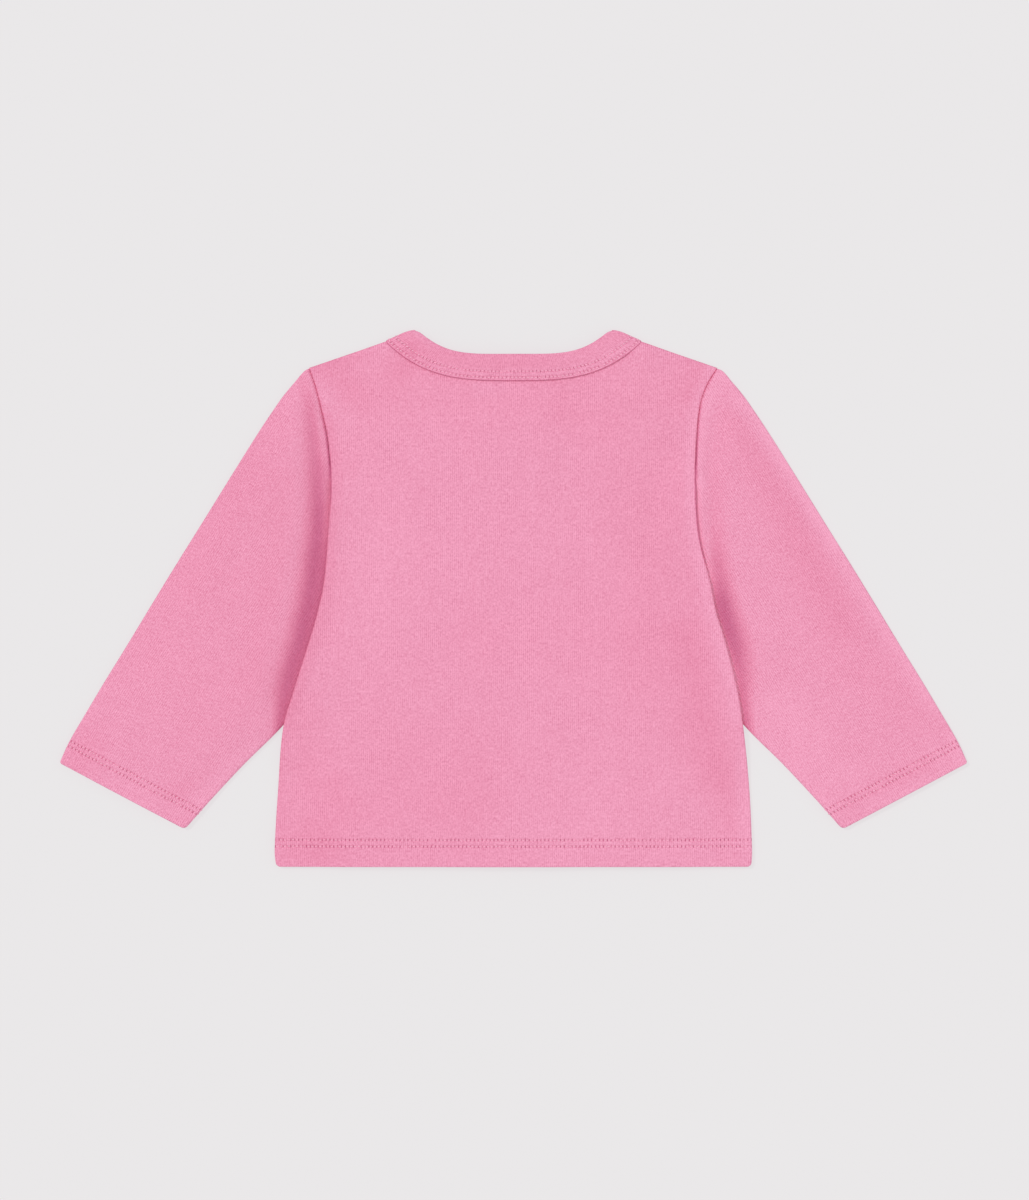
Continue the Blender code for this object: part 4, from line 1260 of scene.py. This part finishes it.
# Noises: scale, detail and roughness
THREAD_GRAIN = (1400.0, 2.0)
STUD_CLOUD = (300.0, 2.0)
STUD_SCUFF = (2400.0, 3.0, 0.7)
FLOOR_GRAIN = (9.0, 2.0)
FLOOR_GRAIN_TONES = (0.985, 1.015)
DRIFT = (60.0, 2.0)
PATCHES = (95.0, 1.0)
PATCH_REACH = (0.32, 0.62)
FLECK = (1150.0, 1.0, 0.6)
SLUB = (560.0, 2.0, 0.6)
MOTTLE = (150.0, 2.0, 0.6)
CLOUD = (26.0, 2.0)
RELIEF = (1900.0, 2.0, 0.6)
HOLES_UNEVEN = (430.0, 1.0)
FLECK_STRETCH = (1.0, 0.75, 1.0)
SLUB_STRETCH = (0.8, 1.0, 1.0)

KNIT_BUMP = (0.55, 0.0003)  # strength, and distance in metres
RELIEF_SHARE = 0.3
HOLE_DEPTH = 0.8
LOOP_SHARE = 0.4
WALE_WANDER = 1.1
MEAN_HEIGHT = 0.57  # of the knit
MIDDLE_TONE = 0.6  # between the deep and the pale colour
MOTTLE_SHARE = 0.32
CLOUD_SHARE = 0.18
HOLE_REACH = (0.00095, 0.00045)  # metres across the row
HOLE_LENGTH = (0.2, 0.07)  # pitches along it
HOLE_WANDER = 0.12
HOLE_SHOWS = (0.3, 0.56)


def needle_holes(net, stitch_map, rows, pitch):
    """1 at the needle holes of the twin rows, unevenly strong, and 0 away from them."""
    seam = net.uv(stitch_map)
    along, away, _ = net.split(seam)
    uneven = net.noise(seam, *HOLES_UNEVEN)
    step = net.maths("ABSOLUTE", net.maths("FRACT", along / pitch + 0.5) - 0.5)
    at_hole = net.between(step + (uneven - 0.5) * HOLE_WANDER, *HOLE_LENGTH)
    total = 0.0
    for row in rows:
        total = net.between(net.maths("ABSOLUTE", away - row * MM), *HOLE_REACH) + total
    return total * at_hole * net.between(uneven, *HOLE_SHOWS)


def knit_material(name, look, sizes, stitch_rows, slubby=1.0, punch=0.9):
    """Fine cotton knit: wales and courses in the piece's own direction, heather, needle holes, and painted
    shade and light.

    stitch_rows holds the rows of each UV map that has some. slubby scales the coarser part of the
    heather, and punch is how strongly the holes show.
    """
    net = Net(name)
    knit = net.uv("knit")
    place = net.place()
    u, v, _ = net.split(knit)
    drift = net.noise(place, *DRIFT)
    patches = net.noise(place, *PATCHES)
    wale = u / sizes.wale + (drift - 0.5) * WALE_WANDER
    course = v / sizes.course
    leg = net.maths("ABSOLUTE", net.maths("FRACT", wale) - 0.5) * 2.0
    groove = leg**2.0
    loop = net.maths("SINE", net.maths("FRACT", course + leg * 0.5) * math.pi)
    height = (1.0 - groove) * (1 - LOOP_SHARE + loop * LOOP_SHARE)
    fleck = net.noise(net.stretch(knit, FLECK_STRETCH), *FLECK)
    slub = net.noise(net.stretch(knit, SLUB_STRETCH), *SLUB)
    mottle = net.noise(place, *MOTTLE)
    cloud = net.noise(place, *CLOUD)
    # Painted shade from the shade attribute, less the painted light of the glow beside the body's edge; below
    # zero it makes the cloth paler
    beside = net.attribute("beside")
    shadow = net.attribute("shade") - net.attribute("glow") * net.maths("EXPONENT", beside * beside * -1.0)
    paler = net.maths("MINIMUM", shadow, 0.0)
    deeper = net.maths("MAXIMUM", shadow, 0.0)
    fine = (fleck - 0.5) * look.heather
    # Painted shade in the grooves between the wales, and painted light on the raised loops
    fine = fine + (height - MEAN_HEIGHT) * look.rib_contrast * net.between(patches, *PATCH_REACH)
    light = MIDDLE_TONE + fine + (slub - 0.5) * (look.slubs * slubby)
    light = light + (mottle - 0.5) * MOTTLE_SHARE + (cloud - 0.5) * CLOUD_SHARE - paler
    base = net.mix(net.limited(light), colour(look.cloth_deep), colour(look.cloth_pale))
    holes = [needle_holes(net, key, rows, sizes.stitch_pitch) for key, rows in stitch_rows.items()]
    holes = sum(holes[1:], holes[0])
    # Painted shade down in the needle holes
    base = net.mix(net.limited(holes * punch), base, colour(look.shade))
    # Painted shade: the shade attribute deepens the colour and makes it redder, as deep in a tuck
    base = net.mix(deeper, base, colour((1.0, look.painted_shade_tint[1], look.painted_shade_tint[2])), "MULTIPLY")
    base = net.mix(deeper**1.5, base, colour((look.painted_shade_tint[0], 1.0, 1.0)), "MULTIPLY")
    relief = net.noise(place, *RELIEF)
    raised = height * (1 - RELIEF_SHARE) + relief * RELIEF_SHARE
    return net.finish(
        {
            "Base Color": base,
            "Normal": net.bump(*KNIT_BUMP, raised - holes * HOLE_DEPTH),
            "Roughness": 0.82 + (mottle - 0.5) * 0.12,
            "Sheen Weight": 0.05,
            "Sheen Roughness": 0.5,
            "Specular IOR Level": 0.15,
        }
    )


def thread_material(name, look):
    """Spun sewing thread, a little paler and smoother than the cloth."""
    net = Net(name)
    grain = net.noise(net.place(), *THREAD_GRAIN)
    # Painted light and painted shade on the thread, spread at random over its grain
    base = net.mix(net.limited((grain - 0.5) * 1.4 + 0.5), colour(look.thread_deep), colour(look.thread_pale))
    return net.finish(
        {
            "Base Color": base,
            "Normal": net.bump(0.3, 0.0001, grain),
            "Roughness": 0.55 + (grain - 0.5) * 0.2,
            "Specular IOR Level": 0.3,
        }
    )


def stud_material(name, look):
    """Enamelled press-stud cap with faint handling marks."""
    net = Net(name)
    place = net.place()
    cloud = net.noise(place, *STUD_CLOUD)
    scuff = net.noise(place, *STUD_SCUFF)
    base = net.mix(net.limited((cloud - 0.5) * 0.8 + 0.5), colour(look.stud_deep), colour(look.stud_pale))
    return net.finish(
        {
            "Base Color": base,
            "Normal": net.bump(0.08, 0.0001, scuff),
            "Roughness": 0.24 + scuff * 0.2,
            "Coat Weight": 0.3,
            "Coat Roughness": 0.12,
        }
    )


def floor_material(name, stage):
    """Pale paper sweep, lit so evenly that shadows on it stay faint."""
    net = Net(name)
    grain = net.noise(net.place(), *FLOOR_GRAIN)
    lit = [c * (1 - stage.evenness) for c in stage.floor]
    darker, paler = (colour(c * share for c in lit) for share in FLOOR_GRAIN_TONES)
    return net.finish(
        {
            "Base Color": net.mix(grain, darker, paler),
            "Roughness": 0.95,
            "Specular IOR Level": 0.0,
            "Emission Color": colour(c * stage.evenness for c in stage.floor),
            "Emission Strength": 1.0,
        }
    )


# Settings


def colour_setting(name, description, default):
    return bpy.props.FloatVectorProperty(
        name=name, description=description, default=default, size=3, min=0.0, max=1.0, subtype="COLOR"
    )


def length_setting(name, description, default):
    kind = {"precision": 5, "subtype": "DISTANCE", "unit": "LENGTH"}
    return bpy.props.FloatProperty(name=name, description=description, default=default, min=0.0, **kind)


def share_setting(name, description, default):
    return bpy.props.FloatProperty(name=name, description=description, default=default, min=0.0, max=8.0)


class CardiganSizes(bpy.types.PropertyGroup):
    """Sizes of the knit and of the stitching."""

    wale: length_setting("Wale", "Distance from one wale of the knit to the next", 0.001075)
    course: length_setting("Course", "Distance from one course of the knit to the next", 0.00082)
    stitch_pitch: length_setting("Stitch pitch", "Distance from one stitch to the next", 0.00207)
    stitch_length: length_setting("Stitch length", "Length of the thread that shows in each stitch", 0.0014)
    thread: length_setting("Thread", "Thickness of the sewing thread", 0.00062)
    stud: length_setting("Stud", "Radius of a press stud's cap", 0.00475)


class CardiganLook(bpy.types.PropertyGroup):
    """Colours of the cloth, thread and press studs, and of the painted shade."""

    # The deep and the pale cloth span the yarn's heather, and the painted shade between the loops
    cloth_pale: colour_setting("Pale cloth", "Colour of the raised loops", (0.962, 0.414, 0.596))
    cloth_deep: colour_setting("Deep cloth", "Colour between the loops", (0.750, 0.227, 0.374))
    shade: colour_setting("Shade", "Colour down in the needle holes", (0.58, 0.125, 0.24))
    # Painted shade: what is left of the colour where the shade attribute is full
    painted_shade_tint: colour_setting("Tuck tint", "What is left of the colour deep in a tuck", (0.7, 0.44, 0.56))
    thread_pale: colour_setting("Pale thread", "Sewing thread in the light", (0.99, 0.52, 0.68))
    thread_deep: colour_setting("Deep thread", "Sewing thread between its strands", (0.93, 0.43, 0.59))
    stud_pale: colour_setting("Pale stud", "Enamel of the press studs", (0.88, 0.42, 0.56))
    stud_deep: colour_setting("Deep stud", "Enamel of the studs, where it is thicker", (0.80, 0.34, 0.48))
    heather: share_setting("Heather", "Strength of the fine flecks in the yarn", 1.65)
    slubs: share_setting("Slubs", "Strength of the thicker and thinner places in the yarn", 0.8)
    rib_contrast: share_setting("Rib contrast", "How much the grooves between wales show", 0.65)


class CardiganStage(bpy.types.PropertyGroup):
    """Floor, light and camera."""

    floor: colour_setting("Floor", "Colour of the floor", (0.822, 0.807, 0.815))
    evenness: share_setting("Evenness", "Share of the floor's light that shadows leave alone", 0.78)
    sky: share_setting("Sky", "Strength of the light from all round", 0.60)
    lamps: share_setting("Lamps", "Strength of the two broad lamps", 0.94)
    focal_length: bpy.props.FloatProperty(
        name="Focal length", description="Focal length of the camera, in millimetres", default=85.0, min=1.0
    )
    camera_height: length_setting("Camera height", "Height of the camera over the floor", 1.5055)


# Operators


def rest_on_root(obj, material, slot, *nodes):
    """Give a piece its material, and let it ride the root in place of the frame's nodes."""
    obj.data.materials.append(material)
    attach(obj, "root")
    if nodes:
        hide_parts(*nodes)
    return obj


def settings_of(context):
    scene = context.scene
    return scene.cardigan_sizes, scene.cardigan_look, scene.cardigan_stage


class CARDIGAN_OT_back(bpy.types.Operator):
    """Make the back panel with its hem stitching"""

    bl_idname = "cardigan.back"
    bl_label = "Back panel"

    def execute(self, context):
        sizes, look, _ = settings_of(context)
        panel, rows = make_back("back_cloth")
        cloth = knit_material("back_knit", look, sizes, {"stitch": HEM_ROWS})
        rest_on_root(panel, cloth, "knit", "back_panel")
        stitches = make_stitches("back_hem_stitches", rows, sizes)
        rest_on_root(stitches, thread_material("back_thread", look), "knit")
        return {"FINISHED"}


class CARDIGAN_OT_fronts(bpy.types.Operator):
    """Make the two fronts with their hem and opening stitching"""

    bl_idname = "cardigan.fronts"
    bl_label = "Fronts"

    def execute(self, context):
        sizes, look, _ = settings_of(context)
        cloth = knit_material("front_knit", look, sizes, {"stitch": HEM_ROWS, "edge": OPENING_ROWS})
        thread = thread_material("front_thread", look)
        for word, side, underside in FRONTS:
            panel, rows = make_front(f"front_cloth_{word}", side, underside)
            rest_on_root(panel, cloth, "knit", f"front_panel_{word}")
            stitches = make_stitches(f"front_stitches_{word}", rows, sizes)
            rest_on_root(stitches, thread, "knit")
        return {"FINISHED"}


class CARDIGAN_OT_sleeves(bpy.types.Operator):
    """Make the two sleeves with their cuff stitching"""

    bl_idname = "cardigan.sleeves"
    bl_label = "Sleeves"

    def execute(self, context):
        sizes, look, _ = settings_of(context)
        cloth = knit_material("sleeve_knit", look, sizes, {"stitch": CUFF_ROWS}, slubby=0.7)
        thread = thread_material("cuff_thread", look)
        for word, side in (("left", -1), ("right", 1)):
            sleeve, rows = make_sleeve(f"sleeve_cloth_{word}", side)
            rest_on_root(sleeve, cloth, "knit", f"sleeve_{word}")
            stitches = make_stitches(f"cuff_stitches_{word}", rows, sizes)
            rest_on_root(stitches, thread, "knit")
        return {"FINISHED"}


class CARDIGAN_OT_neckband(bpy.types.Operator):
    """Make the folded neckband with its twin rows of stitching"""

    bl_idname = "cardigan.neckband"
    bl_label = "Neckband"

    def execute(self, context):
        sizes, look, _ = settings_of(context)
        band, rows = make_neckband("neckband_cloth")
        cloth = knit_material("band_knit", look, sizes, {"stitch": BAND_ROWS}, punch=0.65)
        rest_on_root(band, cloth, "band", "neckband")
        stitches = make_stitches("neckband_stitches", rows, sizes)
        rest_on_root(stitches, thread_material("band_thread", look), "band")
        return {"FINISHED"}


def deselect_faces(mesh):
    bpy.ops.mesh.select_all(action="DESELECT")
    bpy.ops.object.mode_set(mode="OBJECT")
    for part in (mesh.vertices, mesh.edges, mesh.polygons):
        part.foreach_set("select", [False] * len(part))


class CARDIGAN_OT_studs(bpy.types.Operator):
    """Make the caps of the press studs, which lie on their faces under the outer front"""

    bl_idname = "cardigan.studs"
    bl_label = "Press studs"

    def execute(self, context):
        sizes, look, _ = settings_of(context)
        enamel = stud_material("stud_enamel", look)
        bpy.ops.object.select_all(action="DESELECT")
        bpy.ops.mesh.primitive_cylinder_add(
            vertices=STUD_CORNERS,
            radius=sizes.stud,
            depth=STUD_HEIGHT * MM,
            location=(0, 0, STUD_HEIGHT / 2 * MM),
        )
        cap = context.object
        bpy.ops.object.transform_apply(location=True)
        bpy.ops.object.mode_set(mode="EDIT")
        bpy.ops.mesh.select_mode(type="FACE")
        deselect_faces(cap.data)
        for face in cap.data.polygons:
            face.select = face.normal.z < -0.9
        bpy.ops.object.mode_set(mode="EDIT")
        for width, rise in STUD_RINGS:
            bpy.ops.mesh.inset(thickness=width * MM, depth=rise * MM)
        bpy.ops.object.mode_set(mode="OBJECT")
        rim = cap.modifiers.new("rim", "BEVEL")
        rim.width = STUD_RIM * MM
        rim.segments = 3
        rim.limit_method = "ANGLE"
        rim.angle_limit = math.radians(RIM_ANGLE)
        bpy.ops.object.modifier_apply(modifier=rim.name)
        bpy.ops.object.shade_smooth_by_angle(angle=math.radians(SMOOTH_ANGLE))
        for number in range(1, STUD_COUNT + 1):
            stud = bpy.data.objects.new(f"stud_cap_{number}", cap.data.copy())
            context.scene.collection.objects.link(stud)
            for vertex in stud.data.vertices:
                vertex.co.y += (STUD_TOP_Y - STUD_PITCH * (number - 1)) * MM
            rest_on_root(stud, enamel, "stud", f"stud_{number}")
        bpy.data.objects.remove(cap, do_unlink=True)
        return {"FINISHED"}


class CARDIGAN_OT_stage(bpy.types.Operator):
    """Lay the floor, and set the light and the camera"""

    bl_idname = "cardigan.stage"
    bl_label = "Floor, light and camera"

    def execute(self, context):
        stage = context.scene.cardigan_stage
        bpy.ops.object.select_all(action="DESELECT")
        bpy.ops.mesh.primitive_plane_add(size=FLOOR_SIZE, location=(0.0, 0.0, FLOOR_HEIGHT))
        floor = context.object
        floor.name = "floor"
        bpy.ops.object.transform_apply(location=True)
        floor.data.materials.append(floor_material("floor_paper", stage))
        world = bpy.data.worlds.new("soft_sky")
        context.scene.world = world
        world.use_nodes = True
        sky = world.node_tree.nodes["Background"]
        sky.inputs["Color"].default_value = SKY_COLOUR
        sky.inputs["Strength"].default_value = stage.sky
        for name, strength, spread, way in LIGHTS:
            light = bpy.data.lights.new(name, "SUN")
            light.energy = strength * stage.lamps
            light.angle = math.radians(spread)
            light.color = LAMP_COLOUR
            lamp = bpy.data.objects.new(name, light)
            lamp.rotation_euler = Vector(way).to_track_quat("-Z", "Y").to_euler()
            context.scene.collection.objects.link(lamp)
        lens = bpy.data.cameras.new("camera")
        lens.lens = stage.focal_length
        lens.sensor_width = SENSOR_WIDTH
        camera = bpy.data.objects.new("camera", lens)
        camera.location = (*CAMERA_PLACE, stage.camera_height)
        context.scene.collection.objects.link(camera)
        context.scene.camera = camera
        context.scene.view_settings.view_transform = "Standard"
        return {"FINISHED"}


OPERATORS = (
    CARDIGAN_OT_stage,
    CARDIGAN_OT_sleeves,
    CARDIGAN_OT_fronts,
    CARDIGAN_OT_back,
    CARDIGAN_OT_neckband,
    CARDIGAN_OT_studs,
)


class CARDIGAN_PT_panel(bpy.types.Panel):
    """Lists the cardigan's pieces and settings"""

    bl_idname = "CARDIGAN_PT_panel"
    bl_label = "Baby cardigan"
    bl_space_type = "VIEW_3D"
    bl_region_type = "UI"
    bl_category = "Cardigan"

    def draw(self, context):
        for operator in OPERATORS:
            self.layout.operator(operator.bl_idname)
        for group in settings_of(context):
            box = self.layout.box()
            for key in group.__annotations__:
                box.prop(group, key)


CLASSES = (CardiganSizes, CardiganLook, CardiganStage, *OPERATORS, CARDIGAN_PT_panel)
GROUPS = {"cardigan_sizes": CardiganSizes, "cardigan_look": CardiganLook, "cardigan_stage": CardiganStage}


def register():
    for cls in CLASSES:
        bpy.utils.register_class(cls)
    for key, group in GROUPS.items():
        setattr(bpy.types.Scene, key, bpy.props.PointerProperty(type=group))


def unregister():
    for key in GROUPS:
        delattr(bpy.types.Scene, key)
    for cls in reversed(CLASSES):
        bpy.utils.unregister_class(cls)


def main():
    register()
    bpy.ops.cardigan.stage()
    bpy.ops.cardigan.sleeves()
    bpy.ops.cardigan.fronts()
    bpy.ops.cardigan.back()
    bpy.ops.cardigan.neckband()
    bpy.ops.cardigan.studs()


if __name__ == "__main__":
    main()
